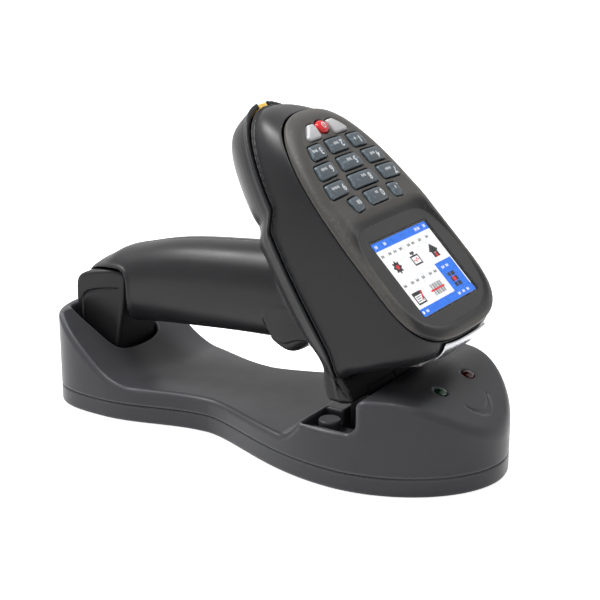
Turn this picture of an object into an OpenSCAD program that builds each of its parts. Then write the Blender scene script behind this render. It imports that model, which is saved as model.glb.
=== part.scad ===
// Gun-shaped barcode data terminal docked in its charging cradle.
// Origin: centre of the cradle's footprint, on the table. +X is the head end, Z is up, Y = 0 the mirror plane.

/* [Cradle] */
// Overall length of the cradle
cradle_len = 212; // [200:1:230]
// Width at the domed head end
dome_w = 87; // [84:1:96]
// Width at the butt end
butt_w = 69; // [66:1:76]
// Width at the waist
waist_w = 48; // [46:1:56]
// Height of the rear wall
rear_h = 42; // [38:1:46]
// Height of the saddle floor
saddle_h = 15.5; // [14:0.5:18]
// Height of the ridge in front of the notch
ridge_h = 24; // [22:0.5:26]
// Height of the domed end at its highest
dome_h = 39.3; // [37:0.1:42]
// Height of the dome's front edge
tip_h = 21.4; // [18:0.2:24]
// Height of the base plate, up to the parting line
base_h = 8; // [7.6:0.2:9]
// Wall of the cradle's mouldings
cradle_wall = 2.4; // [2:0.1:3]
// Floor height of the butt pocket
pocket_floor = 13.5; // [12.5:0.5:15]
// Half width of the butt pocket at its rear
pocket_half_w = 21; // [20:0.5:22]
// Floor height of the tongue's slot
slot_floor = 15.7; // [15:0.1:17]
// Depth of the side ledges in the notch, below the ridge
ledge_drop = 5.5; // [4:0.5:7]
// Diameter of an indicator lens
led_d = 5.4; // [4.6:0.2:6]
// Distance between the two indicator lenses
led_pitch = 23.2; // [20:0.2:28]
// Diameter of a rubber foot
foot_d = 12; // [9:0.5:15]

/* [Terminal head] */
// Height of the middle of the screen above the table
head_z = 83.06; // [82:0.5:88]
// Distance of the middle of the screen from the cradle's middle
head_x = 69.4; // [68:0.2:71]
// Half width of the face panel
face_half_w = 35.2; // [34.6:0.1:36]
// Distance from the middle of the screen to the rear tip of the face panel
face_rear = 78.6; // [77:0.2:80]
// Distance from the middle of the screen to the front edge of the face panel
face_front = 31.2; // [30.4:0.2:32]
// How far the housing's rear tip lies behind the face panel's
rear_bulge = 16; // [13:0.5:18]
// How far the housing's nose lies before the face panel's
nose_bulge = 4.1; // [3:0.1:5]
// How far the housing's sides stand out beyond the rim of the face
side_bulge = 1.2; // [0.6:0.1:2]
// Wall of the terminal's mouldings
wall = 2.2; // [1.8:0.1:2.6]
// Width of the black parting groove
groove = 0.5; // [0.4:0.05:0.8]

/* [Screen and keys] */
// Length of the lit area of the display, along the head
screen_l = 34.85; // [33:0.05:36]
// Width of the lit area of the display, across the head
screen_w = 43.56; // [42:0.02:45]
// Height of the keypad's surface above the screen
pad_top = 1.6; // [1.2:0.1:1.8]
// Height of the keys' tops above the screen
key_top = 2.8; // [2.4:0.1:3]
// Travel of a key
key_travel = 0.8; // [0.5:0.1:1]
// Pitch of the rows of keys
key_pitch = 8.7; // [8.5:0.05:8.8]
// Place of the first row of number keys, from the middle of the screen
first_row = -60.4; // [-60.8:0.1:-60]
// Length of a key, along the head
key_l = 6.0; // [5.4:0.1:6.4]
// Distance from the middle of the screen to the power key
power_u = 70; // [69.6:0.1:70.4]

/* [Grip] */
// Diameter of the battery cell
cell_d = 18.4; // [17:0.1:18.6]
// Length of the battery cell
cell_l = 65; // [60:0.5:67]
// Half width of the grip
grip_half_w = 18; // [17.4:0.1:19]
// Half width of the butt cap
cap_half_w = 17.4; // [16:0.1:18]
// Half width of the trigger
trigger_half_w = 11; // [9:0.5:12]
// Swing of the trigger in degrees
trigger_swing = 6; // [4:0.5:6.5]
// Radius of the trigger's pin
trigger_pin_r = 1.25; // [1:0.05:1.5]
// Half width of the chin that stands in the notch
chin_half_w = 33.2; // [32:0.2:34]
// Half width of the tongue under the chin
tongue_half_w = 20; // [16:0.5:21]

/* [Clearances] */
// Gap round a key in its window
key_gap = 0.25; // [0.2:0.05:0.4]
// Gap between still pieces of the housings
fit_gap = 0.3; // [0.2:0.05:0.4]
// Radial clearance of a pin in its hole
pin_gap = 0.05; // [0.02:0.01:0.09]
// Gap round the tongue in its slot, and behind the butt cap in its pocket
dock_gap = 2; // [1.5:0.1:3]
// Gap under the terminal where it stands in the cradle
seat_gap = 0.3; // [0.2:0.05:0.5]

/* [Hidden] */

black_plastic = [0.17, 0.17, 0.18];
cradle_plastic = [0.20, 0.20, 0.21];
panel_plastic = [0.36, 0.35, 0.33];
key_blue = [0.30, 0.34, 0.38];
steel = [0.75, 0.76, 0.78];
gold = [0.85, 0.66, 0.25];
board_green = [0.05, 0.32, 0.16];
eps = 0.01;
tilt = 45;

// ---------------------------------------------------------------- plan and side outlines of the cradle

butt_x = -71;
waist_x = -20;
dome_x = 52;
wall_x = 62.5;
ridge_x = 36.5;
crest_x = 73;
slope_top_x = -97.5;
slope_foot_x = -64;
notch_r = 4.4;

function pow_sin(t, e) = pow(max(0, sin(t)), e);
function pow_cos(t, e) = pow(max(0, cos(t)), e);
function ease(t) = (1 - cos(180 * t)) / 2;

// Half of the plan outline, from the butt end to the dome's front, set in by d.
function plan_half(d) = let (half = cradle_len / 2 - d) concat(
    [for (t = [0 : 9 : 81])
        [butt_x - (half + butt_x) * pow_cos(t, 0.625), (butt_w / 2 - d) * pow_sin(t, 0.625)]],
    [for (t = [0 : 0.125 : 0.9])
        [butt_x + (waist_x - butt_x) * t, (butt_w + (waist_w - butt_w) * ease(t)) / 2 - d]],
    [for (t = [0 : 0.1 : 0.95]) [waist_x + (dome_x - waist_x) * t,
        (waist_w + (dome_w - waist_w) * ease(pow(t, 0.75))) / 2 - d]],
    [for (t = [90 : -7.5 : 0])
        [dome_x + (half - dome_x) * pow_cos(t, 1.05), (dome_w / 2 - d) * pow_sin(t, 1.05)]]);

module plan(d = 0) {
    half = plan_half(d);
    n = len(half);
    polygon(concat(half, [for (i = [n - 2 : -1 : 1]) [half[i][0], -half[i][1]]]));
}

function dome_z(x) = dome_h - (dome_h - tip_h) * pow(max(0, (x - crest_x) / (cradle_len / 2 - crest_x)), 2.05);

// Top of the cradle seen from the side, from the butt end to the dome's front.
function top_line() = concat(
    [[-cradle_len / 2 - 2, rear_h], [slope_top_x, rear_h], [slope_foot_x - 3, saddle_h + 2],
        [slope_foot_x, saddle_h + 0.6], [slope_foot_x + 4, saddle_h]],
    [for (t = [0 : 0.2 : 1]) [ridge_x - 11 * (1 - t), saddle_h + (ridge_h - saddle_h) * pow(t, 1.9)]],
    [for (t = [0 : 15 : 90]) [wall_x - notch_r + notch_r * sin(t), ridge_h + 0.4 + notch_r - notch_r * cos(t)]],
    [[wall_x, dome_h - 3.5], [wall_x + 1, dome_h - 1.6], [wall_x + 3.2, dome_h - 0.5]],
    [for (x = [crest_x : 3 : cradle_len / 2]) [x, dome_z(x)]],
    [[cradle_len / 2 + 2, tip_h - 2]]);

// The cradle's outer form between two heights; drop lowers the top, d sets the sides in.
module cradle_form(z0, drop = 0, d = 0) {
    intersection() {
        translate([0, 0, z0]) linear_extrude(dome_h + rear_h) plan(d);
        translate([0, dome_w, -drop]) rotate([90, 0, 0]) linear_extrude(2 * dome_w)
            polygon(concat([[-cradle_len / 2 - 2, -20]], top_line(), [[cradle_len / 2 + 2, -20]]));
    }
}

// ---------------------------------------------------------------- pocket, notch and slot

cap_rear_x = -98;
cap_front_x = -72;
pocket_rear_x = cap_rear_x - dock_gap - 0.8;
pocket_front_x = -75.5;
pocket_half = [[pocket_rear_x, 0], [pocket_rear_x, pocket_half_w - 4],
    [pocket_rear_x + 1.2, pocket_half_w - 1.2], [pocket_rear_x + 4, pocket_half_w],
    [-83, pocket_half_w - 3.8], [-79.2, pocket_half_w - 5.2],
    [-77, pocket_half_w - 7.6], [-75.9, pocket_half_w - 13], [pocket_front_x, 0]];

module pocket_plan() {
    n = len(pocket_half);
    polygon(concat(pocket_half, [for (i = [n - 2 : -1 : 1]) [pocket_half[i][0], -pocket_half[i][1]]]));
}

tongue_x0 = 47.5;
tongue_x1 = 58.5;
slot_x0 = tongue_x0 - dock_gap;
slot_x1 = wall_x - 0.5;
slot_half_w = tongue_half_w + dock_gap + 2;
ledge_in_w = slot_half_w + cradle_wall;
ledge_floor = ridge_h - ledge_drop;
ledge_out_w = dome_w / 2 - 2.9;

module notch_void() {
    translate([slot_x0, -slot_half_w, slot_floor]) cube([slot_x1 - slot_x0, 2 * slot_half_w, 40]);
    for (side = [0, 1]) mirror([0, side, 0]) {
        translate([0, 0, ledge_floor]) linear_extrude(ledge_drop + 1)
            polygon(round_box(ridge_x + 1, slot_x1, ledge_in_w, ledge_out_w, 3));
    }
}

boss_places = [[-54, 20], [78, 25]];
boss_r = 3.4;
screw_r = 1.3;

module at_bosses() {
    for (p = boss_places) for (side = [-1, 1]) translate([p[0], side * p[1], 0]) children();
}

led_x = 83.8;
led_seat = 6;

module cradle_shell() {
    color(cradle_plastic) difference() {
        union() {
            difference() {
                cradle_form(base_h);
                cradle_form(base_h - 1, cradle_wall, cradle_wall);
            }
            intersection() {
                union() {
                    translate([pocket_rear_x - cradle_wall - 1, -pocket_half_w - cradle_wall,
                        pocket_floor - cradle_wall])
                        cube([pocket_front_x - pocket_rear_x + 2 * cradle_wall + 1,
                            2 * (pocket_half_w + cradle_wall), 40]);
                    translate([ridge_x - 2, -ledge_out_w, slot_floor - cradle_wall])
                        cube([slot_x1 - ridge_x + 2 + cradle_wall, 2 * ledge_out_w, 40]);
                }
                cradle_form(base_h);
            }
            intersection() {
                at_bosses() translate([0, 0, base_h]) cylinder(r = boss_r, h = 40, $fn = 32);
                cradle_form(base_h);
            }
        }
        translate([0, 0, pocket_floor]) linear_extrude(60) pocket_plan();
        notch_void();
        at_bosses() translate([0, 0, base_h - eps]) cylinder(r = screw_r, h = 5, $fn = 24);
        for (side = [-1, 1]) translate([led_x, side * led_pitch / 2, dome_h - 12])
            cylinder(r = led_d / 2 + pin_gap, h = 20, $fn = 32);
        for (side = [-1, 1]) translate([pin_x, side * pin_y, slot_floor - cradle_wall - 1])
            cylinder(r = guide_r + 0.1, h = 8, $fn = 32);
    }
}

floor_z = 1;

module cradle_base() {
    color(cradle_plastic) difference() {
        union() {
            difference() {
                translate([0, 0, floor_z]) linear_extrude(base_h - fit_gap - floor_z) plan(0);
                translate([0, 0, floor_z + cradle_wall]) linear_extrude(base_h) plan(cradle_wall);
            }
            at_bosses() translate([0, 0, floor_z]) cylinder(r = boss_r, h = base_h - floor_z - 0.05, $fn = 32);
            for (x = board_rests) translate([x, -board_half_w, floor_z])
                cube([6, 2 * board_half_w, cradle_wall + 0.6]);
        }
        at_bosses() {
            translate([0, 0, floor_z - eps]) cylinder(r = screw_r + 0.3, h = base_h, $fn = 24);
            translate([0, 0, floor_z - eps]) cylinder(r = screw_head_r + 0.3, h = screw_sink, $fn = 24);
        }
        translate([-cradle_len / 2 - 1, -socket_w / 2 - 0.1, board_top - 0.1]) cube([8, socket_w + 0.2, 20]);
        at_feet() cylinder(r = foot_d / 2 + 0.1, h = floor_z + foot_sink, $fn = 48);
    }
}

foot_sink = 0.8;
foot_places = [[-88, 18], [30, 31], [84, 16]];

module at_feet() {
    for (p = foot_places) for (side = [-1, 1]) translate([p[0], side * p[1], 0]) children();
}

module cradle_feet() {
    color([0.08, 0.08, 0.08]) at_feet() cylinder(r = foot_d / 2, h = floor_z + foot_sink, $fn = 48);
}

screw_head_r = 2.3;
screw_sink = 2.6;

module cradle_screws() {
    color(steel) at_bosses() difference() {
        union() {
            translate([0, 0, floor_z + 0.6]) cylinder(r = screw_head_r, h = screw_sink - 0.65, $fn = 24);
            translate([0, 0, floor_z + 1]) cylinder(r = screw_r - 0.02, h = base_h + 2, $fn = 24);
        }
        translate([0, 0, floor_z]) cylinder(r = 1, h = 1.4, $fn = 6);
    }
}

ballast_x0 = -12;
ballast_l = 84;
ballast_w = 34;
ballast_h = 3;

module ballast_plate() {
    color([0.5, 0.5, 0.52]) translate([ballast_x0, -ballast_w / 2, floor_z + cradle_wall])
        cube([ballast_l, ballast_w, ballast_h]);
}

board_z = floor_z + cradle_wall + 0.6;
board_t = 1.2;
board_top = board_z + board_t;
socket_w = 7.8;
socket_h = 2.6;

board_rests = [-92, -30];
board_l = 82;
board_half_w = 14;

module cradle_board() {
    color(board_green) translate([-cradle_len / 2 + cradle_wall + 2.4, -board_half_w, board_z])
        cube([board_l, 2 * board_half_w, board_t]);
}

module data_socket() {
    x0 = -cradle_len / 2 + 0.8;
    color(steel) difference() {
        translate([x0, -socket_w / 2, board_top]) cube([8.8, socket_w, socket_h]);
        translate([x0 - 1, -socket_w / 2 + 0.4, board_top + 0.4]) cube([7, socket_w - 0.8, socket_h - 0.8]);
    }
    color(black_plastic) translate([x0 + 1, -2.6, board_top + 1]) cube([6, 5.2, 0.6]);
}

radio_x = -62;
radio_l = 22;
radio_w = 15;
radio_h = 2.2;

module radio_module() {
    color(steel) translate([radio_x, -0.6 * radio_w, board_top]) cube([radio_l, radio_w, radio_h]);
}

// ---------------------------------------------------------------- indicators and spring contacts

module led_lens(side, tint) {
    z = dome_z(led_x);
    color(tint) translate([led_x, side * led_pitch / 2, 0]) {
        translate([0, 0, z - led_seat]) cylinder(r = led_d / 2, h = led_seat - 0.2, $fn = 32);
        translate([0, 0, z - 0.4]) scale_dome(led_d / 2);
    }
}

// A low dome of radius r at its foot.
module scale_dome(r) {
    intersection() {
        translate([0, 0, -r * 0.75]) sphere(r = r * 1.25, $fn = 48);
        cylinder(r = r, h = r, $fn = 32);
    }
}

pin_x = 53;
pin_y = 7;
pin_r = 1;
pin_hole_r = pin_r + pin_gap;
guide_r = pin_r + 0.6;
block_top = slot_floor - 0.1;
block_foot = floor_z + cradle_wall + ballast_h;
tongue_z = slot_floor + seat_gap;
pad_recess = 1.5;
pad_t = 0.6;
pin_top = tongue_z + pad_recess - 0.05;
pin_foot = pin_top - 5.2;
flange_r = 1.4;
flange_t = 0.6;
spring_foot = block_foot + 2;

module green_lens() led_lens(-1, [0.05, 0.35, 0.12]);
module red_lens() led_lens(1, [0.45, 0.04, 0.05]);

block_l = 10;
block_w = 24;

module contact_block() {
    low = slot_floor - cradle_wall - fit_gap;
    color([0.1, 0.1, 0.1]) difference() {
        union() {
            translate([pin_x - block_l / 2, -block_w / 2, block_foot])
                cube([block_l, block_w, low - block_foot]);
            for (side = [-1, 1]) translate([pin_x, side * pin_y, low - eps])
                cylinder(r = guide_r, h = block_top - low, $fn = 32);
        }
        for (side = [-1, 1]) translate([pin_x, side * pin_y, 0]) {
            translate([0, 0, spring_foot]) cylinder(r = pin_hole_r, h = 20, $fn = 32);
            translate([0, 0, spring_foot])
                cylinder(r = flange_r + 0.1, h = pin_foot + flange_t + 0.02 - spring_foot, $fn = 32);
        }
    }
}

module contact_pin(side) {
    color(gold) translate([pin_x, side * pin_y, 0]) {
        translate([0, 0, pin_foot]) cylinder(r = pin_r, h = pin_top - pin_r - pin_foot, $fn = 32);
        translate([0, 0, pin_foot]) cylinder(r = flange_r, h = flange_t, $fn = 32);
        translate([0, 0, pin_top - pin_r]) sphere(r = pin_r, $fn = 32);
    }
}

// A round-wire coil spring along Z, as a swept tube.
module coil(r, wire, h, turns, sides = 6, steps = 10) {
    n = turns * steps;
    rise = h - 2 * wire;
    points = [for (i = [0 : n]) for (k = [0 : sides - 1])
        let (a = 360 * i / steps, b = 360 * k / sides, q = r - wire + wire * cos(b))
            [q * cos(a), q * sin(a), wire + rise * i / n + wire * sin(b)]];
    sides_faces = [for (i = [0 : n - 1]) for (k = [0 : sides - 1])
        let (j = (k + 1) % sides) [i * sides + k, i * sides + j, (i + 1) * sides + j, (i + 1) * sides + k]];
    ends = [[for (k = [sides - 1 : -1 : 0]) k], [for (k = [0 : sides - 1]) n * sides + k]];
    polyhedron(points = points, faces = concat(sides_faces, ends), convexity = 8);
}

module contact_spring(side) {
    color(steel) translate([pin_x, side * pin_y, spring_foot + 0.02])
        coil(flange_r, 0.28, pin_foot - spring_foot - 0.04, 3);
}

module contact_pin_near() contact_pin(-1);
module contact_pin_far() contact_pin(1);
module contact_spring_near() contact_spring(-1);
module contact_spring_far() contact_spring(1);

// ---------------------------------------------------------------- frame and outlines of the head

// The head's own frame: X along the head to the nose, Y across, Z out of the face, origin mid-screen.
module in_head() {
    translate([head_x, 0, head_z]) rotate([0, tilt, 0]) children();
}

function lerp(a, b, t) = a + (b - a) * t;
function clamp01(t) = min(1, max(0, t));
function blend(t) = clamp01(t) * clamp01(t) * (3 - 2 * clamp01(t));
function sign_pow(v, e) = sign(v) * pow(abs(v), e);

widest_u = -12;

// A point of an egg outline at angle t: blunt at the nose (t = 0), narrower at the rear (t = 180).
function egg_point(t, rear, front, half_w, n_rear = 2.6, n_front = 3.3) =
    let (e = cos(t) < 0 ? 2 / n_rear : 2 / n_front, reach = cos(t) < 0 ? widest_u - rear : front - widest_u)
        [widest_u + reach * sign_pow(cos(t), e), half_w * sign_pow(sin(t), e)];
function egg(rear, front, half_w, step = 6) =
    [for (t = [0 : step : 360 - step]) egg_point(t, rear, front, half_w)];

face_edge = 0.8;
panel_t = 1.7;
groove_rear = -14.5;
groove_front = -24.6;
rim_power = 2.25;

// Height of the parting groove at u: a shallow line at the rear, a step, then a steeper line to the chin.
function groove_w(u) =
    lerp(groove_rear - 0.13 * (u + 85), groove_front - 0.215 * (u + 44), blend((u + 53) / 8));

// Ring of the housing's side at level k: 0 at the face's rim, 1 at the parting groove; d sets it in.
function side_ring(k, d, low = 0, step = 7.5) =
    let (rear = -face_rear - 0.7 - rear_bulge * (1 - pow(1 - k, 1.6)),
        front = face_front + 0.6 + nose_bulge * min(1, k / 0.3),
        half_w = face_half_w + 0.6 + side_bulge * (1 - pow(1 - k, 2)))
    [for (t = [0 : step : 360 - step])
        let (p = egg_point(t, rear + d, front - d, half_w - d, lerp(2.6, rim_power, k)))
        [p[0], p[1], lerp(face_edge, groove_w(p[0]) - low, k)]];

// Depth of the head's lower shell below the groove.
function bowl_depth(u) = lerp(24.5, 21, blend((u + 60) / 20));

// Ring of the lower shell at depth share s below the groove; d sets it in.
function bowl_ring(s, d, step = 7.5) =
    let (ring = side_ring(1, d), ku = pow(1 - pow(s, 6), 1 / 6), kv = pow(1 - s * s, 0.5))
    [for (p = ring) let (u = widest_u + (p[0] - widest_u) * ku)
        [u, p[1] * kv, groove_w(u) - groove - s * (bowl_depth(u) - d)]];

// Solid through a stack of rings that mirror about Y = 0: sides, and caps made of strips across.
// The rings run anticlockwise seen from the first one's side.
module loft(rings) {
    n = len(rings[0]);
    m = len(rings);
    points = [for (r = rings) for (p = r) p];
    sides = [for (j = [0 : m - 2]) for (i = [0 : n - 1]) let (k = (i + 1) % n)
        each [[j * n + i, j * n + k, (j + 1) * n + k], [j * n + i, (j + 1) * n + k, (j + 1) * n + i]]];
    first = strip_cap(0, n, false);
    last = strip_cap((m - 1) * n, n, true);
    polyhedron(points = points, faces = concat(sides, first, last), convexity = 6);
}

function strip_cap(at, n, up) = [for (i = [0 : n / 2 - 1])
    let (a = i, b = i + 1, c = (n - i - 1) % n, e = (n - i) % n)
    each [for (f = i == 0 ? [[a, b, c]] : i == n / 2 - 1 ? [[a, b, e]] : [[a, b, c], [a, c, e]])
        [for (q = up ? [0, 1, 2] : [2, 1, 0]) at + f[q]]]];

// ---------------------------------------------------------------- upper housing and what it carries

nose_u = face_front + 0.6 + nose_bulge;
nose_w = -12;
visor = [[head_x + (nose_u + nose_w) * cos(tilt), head_z + (nose_w - nose_u) * sin(tilt)],
    [55.4, 42.2]];

// Everything in front of and below the scan window's plane.
module window_cut(lift = 0) {
    slope = (visor[0][1] - visor[1][1]) / (visor[0][0] - visor[1][0]);
    translate([0, 60, lift]) rotate([90, 0, 0]) linear_extrude(120)
        polygon([visor[1], visor[0] + [20, 20 * slope], [visor[0][0] + 20, 0], [visor[1][0], 0]]);
}

ledge = 2;
plate_half_w = 17;
plate_h = 7;

module upper_housing() {
    color(black_plastic) difference() {
        in_head() difference() {
            loft([for (k = [0, 0.12, 0.3, 0.5, 0.72, 0.9, 1]) side_ring(k, 0, 0)]);
            loft([for (k = [0.14, 0.3, 0.72, 1]) side_ring(k, wall, 2)]);
            // The panel's recess, and the opening within its ledge.
            translate([0, 0, face_edge - panel_t]) linear_extrude(20)
                polygon(egg(-face_rear - fit_gap, face_front + fit_gap, face_half_w + fit_gap));
            translate([0, 0, -7]) linear_extrude(12) polygon(egg(-face_rear + ledge, face_front - ledge,
                face_half_w - ledge));
            translate([nose_u - 2.4, -plate_half_w - 0.2, -9.4]) rotate([0, -18, 0])
                cube([9, 2 * plate_half_w + 0.4, plate_h + 0.4]);
        }
        window_cut();
        in_head() translate([light_u - 2, -light_half_w - light_gap, light_foot - light_gap])
            cube([light_l + 1.6, 2 * (light_half_w + light_gap), light_h + 4 * light_gap]);
    }
}

light_half_w = 3;
light_l = 4.4;
light_h = 3.6;
light_gap = 0.1;
light_u = -face_rear - rear_bulge;
// The pipe stands across the parting groove at the housing's rear tip.
light_foot = groove_w(light_u) - 2.65;

module light_pipe() {
    color([0.95, 0.62, 0.1]) in_head() translate([light_u - 0.6, -light_half_w, light_foot])
        cube([light_l, 2 * light_half_w, light_h]);
}

module name_plate() {
    color([0.8, 0.8, 0.82]) in_head() translate([nose_u - 2.3, -plate_half_w, -9.2]) rotate([0, -18, 0])
        cube([1.5, 2 * plate_half_w, plate_h]);
}

screen_frame = 0.7;
brow_u = -27.5;

function round_box(x0, x1, y0, y1, r) = [for (c = [[x1 - r, y1 - r, 0], [x0 + r, y1 - r, 90],
    [x0 + r, y0 + r, 180], [x1 - r, y0 + r, 270]]) for (a = [0 : 22.5 : 90])
        [c[0] + r * cos(c[2] + a), c[1] + r * sin(c[2] + a)]];

module face_panel() {
    low = face_edge - panel_t;
    color(panel_plastic) in_head() difference() {
        union() {
            translate([0, 0, low]) linear_extrude(panel_t) polygon(egg(-face_rear, face_front, face_half_w));
            intersection() {
                translate([0, 0, face_edge - eps]) linear_extrude(pad_top - face_edge + eps)
                    polygon(egg(-face_rear + 2.5, face_front - 2.5, face_half_w - 2.5));
                translate([-face_rear, -face_half_w, 0]) cube([face_rear + brow_u, 2 * face_half_w, 5]);
            }
            for (p = post_places) for (side = [-1, 1]) translate([p[0], side * p[1], board_face])
                cylinder(r = post_r, h = low - board_face + eps, $fn = 24);
        }
        translate([0, 0, low - 1]) linear_extrude(10)
            polygon(round_box(-screen_l / 2 - screen_frame, screen_l / 2 + screen_frame,
                -screen_w / 2 - screen_frame, screen_w / 2 + screen_frame, 1));
        for (name = key_names) translate([0, 0, low - 1]) linear_extrude(10)
            polygon(key_outline(name, key_gap));
    }
}

board_face = -3.4;
key_foot = -1.2;
mat_top = key_foot - key_travel - 0.1;
board_depth = 1.6;
post_places = [[-73.9, 3], [-47, 29], [-24, 29.5], [22, 20]];
post_r = 1.6;

module screen_window() {
    color([0.1, 0.12, 0.14, 0.4]) in_head() translate([0, 0, display_face])
        linear_extrude(-display_face) polygon(round_box(-screen_l / 2 - 0.5, screen_l / 2 + 0.5,
            -screen_w / 2 - 0.5, screen_w / 2 + 0.5, 1));
}

display_face = -1;

module display() {
    color([0.8, 0.85, 0.9]) in_head() translate([-screen_l / 2 - 2, -screen_w / 2 - 2, board_face])
        cube([screen_l + 4, screen_w + 4, display_face - 0.1 - board_face]);
}

module key_mat() {
    color([0.25, 0.25, 0.27]) in_head() translate([0, 0, board_face]) difference() {
        intersection() {
            linear_extrude(mat_top - board_face) polygon(egg(-face_rear + 3, face_front, face_half_w - 3));
            translate([-face_rear, -face_half_w, -1]) cube([face_rear + brow_u, 2 * face_half_w, 5]);
        }
        for (p = post_places) for (side = [-1, 1]) translate([p[0], side * p[1], -1])
            cylinder(r = post_r + 0.2, h = 5, $fn = 24);
    }
}

module main_board() {
    color(board_green) in_head() translate([0, 0, board_face - board_depth])
        linear_extrude(board_depth) polygon(egg(-face_rear + 2.5, face_front - 2.5, face_half_w - 2.6));
}

stud_h = 3;
frame_face = board_face - board_depth - stud_h;

plate_t = 1.5;
frame_rear = 46;
frame_l = 68;
frame_half_w = 24;
stud_r = 2;

module inner_frame() {
    color([0.3, 0.3, 0.32]) in_head() {
        translate([-frame_rear, -frame_half_w, frame_face - plate_t])
            cube([frame_l, 2 * frame_half_w, plate_t]);
        for (u = [-frame_rear + stud_r, frame_l - frame_rear - 2 * stud_r]) for (side = [-1, 1])
            translate([u, side * (frame_half_w - stud_r), frame_face - eps])
                cylinder(r = stud_r, h = stud_h + eps, $fn = 24);
    }
}

// ---------------------------------------------------------------- keys

// Rows of the key pad: the middle key's half widths at its rear and front edge, then the side keys' inner edge
// and outer edge, each at rear and front.
rows = [[5.4, 6.2, 10.4, 10.6, 18.2, 20.6], [6.4, 7.4, 12.2, 12.6, 23.2, 24.8],
    [7.8, 9.2, 13.8, 14.2, 25.6, 26.8], [6.0, 6.2, 12.2, 12.0, 18.6, 17.8]];
key_names = ["key_1", "key_2", "key_3", "key_4", "key_5", "key_6", "key_7", "key_8", "key_9",
    "key_point", "key_0", "key_f", "power_key", "corner_key_near", "corner_key_far"];
corner_r = 1.2;

// Quadrilateral grown by g with rounded corners.
function round_quad(q, r, g) = let (n = len(q)) [for (i = [0 : n - 1])
    let (a = q[(i + n - 1) % n], b = q[i], c = q[(i + 1) % n],
        e1 = (a - b) / norm(a - b), e2 = (c - b) / norm(c - b), m = (e1 + e2) / norm(e1 + e2),
        half = acos(max(-1, min(1, e1 * e2))) / 2, centre = b + m * r / sin(half),
        a1 = atan2(-m[1], -m[0]) - (90 - half), a2 = atan2(-m[1], -m[0]) + (90 - half))
    for (t = [0 : 0.25 : 1]) centre + (r + g) * [cos(lerp(a1, a2, t)), sin(lerp(a1, a2, t))]];

function row_u(j) = first_row + key_pitch * j;
// Corners run round the key counter-clockwise: front-far, rear-far, rear-near, front-near.
function mid_quad(j) = let (u = row_u(j), h = key_l / 2, w = rows[j])
    [[u + h, w[1]], [u - h, w[0]], [u - h, -w[0]], [u + h, -w[1]]];
function side_quad(j, side) = let (u = row_u(j), h = key_l / 2, w = rows[j], lean = 0.5)
    side > 0 ? [[u + h + lean, w[5]], [u - h + lean, w[4]], [u - h, w[2]], [u + h, w[3]]]
        : [[u + h, -w[3]], [u - h, -w[2]], [u - h + lean, -w[4]], [u + h + lean, -w[5]]];
function corner_quad(side) = let (u = -power_u)
    side > 0 ? [[u + 4.2, 15], [u - 1.8, 8.4], [u - 1.8, 4.6], [u + 4.2, 5.2]]
        : [[u + 4.2, -5.2], [u - 1.8, -4.6], [u - 1.8, -8.4], [u + 4.2, -15]];
function key_quad(name) =
    name == "key_1" ? side_quad(0, 1) : name == "key_2" ? mid_quad(0) : name == "key_3" ? side_quad(0, -1) :
    name == "key_4" ? side_quad(1, 1) : name == "key_5" ? mid_quad(1) : name == "key_6" ? side_quad(1, -1) :
    name == "key_7" ? side_quad(2, 1) : name == "key_8" ? mid_quad(2) : name == "key_9" ? side_quad(2, -1) :
    name == "key_point" ? side_quad(3, 1) : name == "key_0" ? mid_quad(3) : name == "key_f" ? side_quad(3, -1) :
    corner_quad(name == "corner_key_far" ? 1 : -1);
function key_outline(name, g = 0) = name == "power_key"
    ? [for (t = [0 : 15 : 345]) [-power_u + (2.7 + g) * cos(t), (3.5 + g) * sin(t)]]
    : round_quad(key_quad(name), corner_r, g);

module key(name, tint) {
    color(tint) in_head() translate([0, 0, key_foot]) linear_extrude(key_top - key_foot)
        polygon(key_outline(name));
}

module key_1() key("key_1", key_blue);
module key_2() key("key_2", key_blue);
module key_3() key("key_3", key_blue);
module key_4() key("key_4", key_blue);
module key_5() key("key_5", key_blue);
module key_6() key("key_6", key_blue);
module key_7() key("key_7", key_blue);
module key_8() key("key_8", key_blue);
module key_9() key("key_9", key_blue);
module key_0() key("key_0", key_blue);
module key_f() key("key_f", key_blue);
module key_point() key("key_point", key_blue);
module power_key() key("power_key", [0.85, 0.08, 0.08]);
module corner_key_near() key("corner_key_near", [0.72, 0.71, 0.70]);
module corner_key_far() key("corner_key_far", [0.72, 0.71, 0.70]);

// ---------------------------------------------------------------- scanning parts and beeper

window_l = 19;
window_half_w = 20;
frame_t = 1.6;
frame_lift = 0.6;

// Places children on the plane of the scan window: X along it to the nose, Z away from the opening.
module on_window() {
    run = visor[0] - visor[1];
    translate([visor[1][0], 0, visor[1][1]]) rotate([0, -atan2(run[1], run[0]), 0]) children();
}

window_x = [5, 5 + window_l];

module window_frame() {
    color(black_plastic) difference() {
        intersection() {
            on_window() translate([0.5, -40, frame_lift]) cube([60, 80, frame_t]);
            in_head() loft([for (k = [0.14, 0.3, 0.72, 1]) side_ring(k, wall + fit_gap, 3)]);
        }
        on_window() translate([window_x[0], -window_half_w, 0]) cube([window_l, 2 * window_half_w, 5]);
    }
}

module scan_window() {
    color([0.35, 0.02, 0.03, 0.6]) on_window() translate([window_x[0] - 1.5, -window_half_w - 1.5,
        frame_lift + frame_t]) cube([window_l + 3, 2 * window_half_w + 3, 1.4]);
}

engine_rear = 6;
engine_l = 22;
engine_half_w = 12;
engine_h = 12;
engine_front = engine_l - engine_rear;
engine_top = frame_face - plate_t;
lens_r = 4;

module scan_engine() {
    color([0.12, 0.12, 0.13]) in_head() difference() {
        translate([-engine_rear, -engine_half_w, engine_top - engine_h])
            cube([engine_l, 2 * engine_half_w, engine_h]);
        translate([engine_front - 6, 0, engine_top - engine_h / 2]) rotate([0, 90, 0])
            cylinder(r = lens_r + pin_gap, h = 10, $fn = 32);
    }
}

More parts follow.
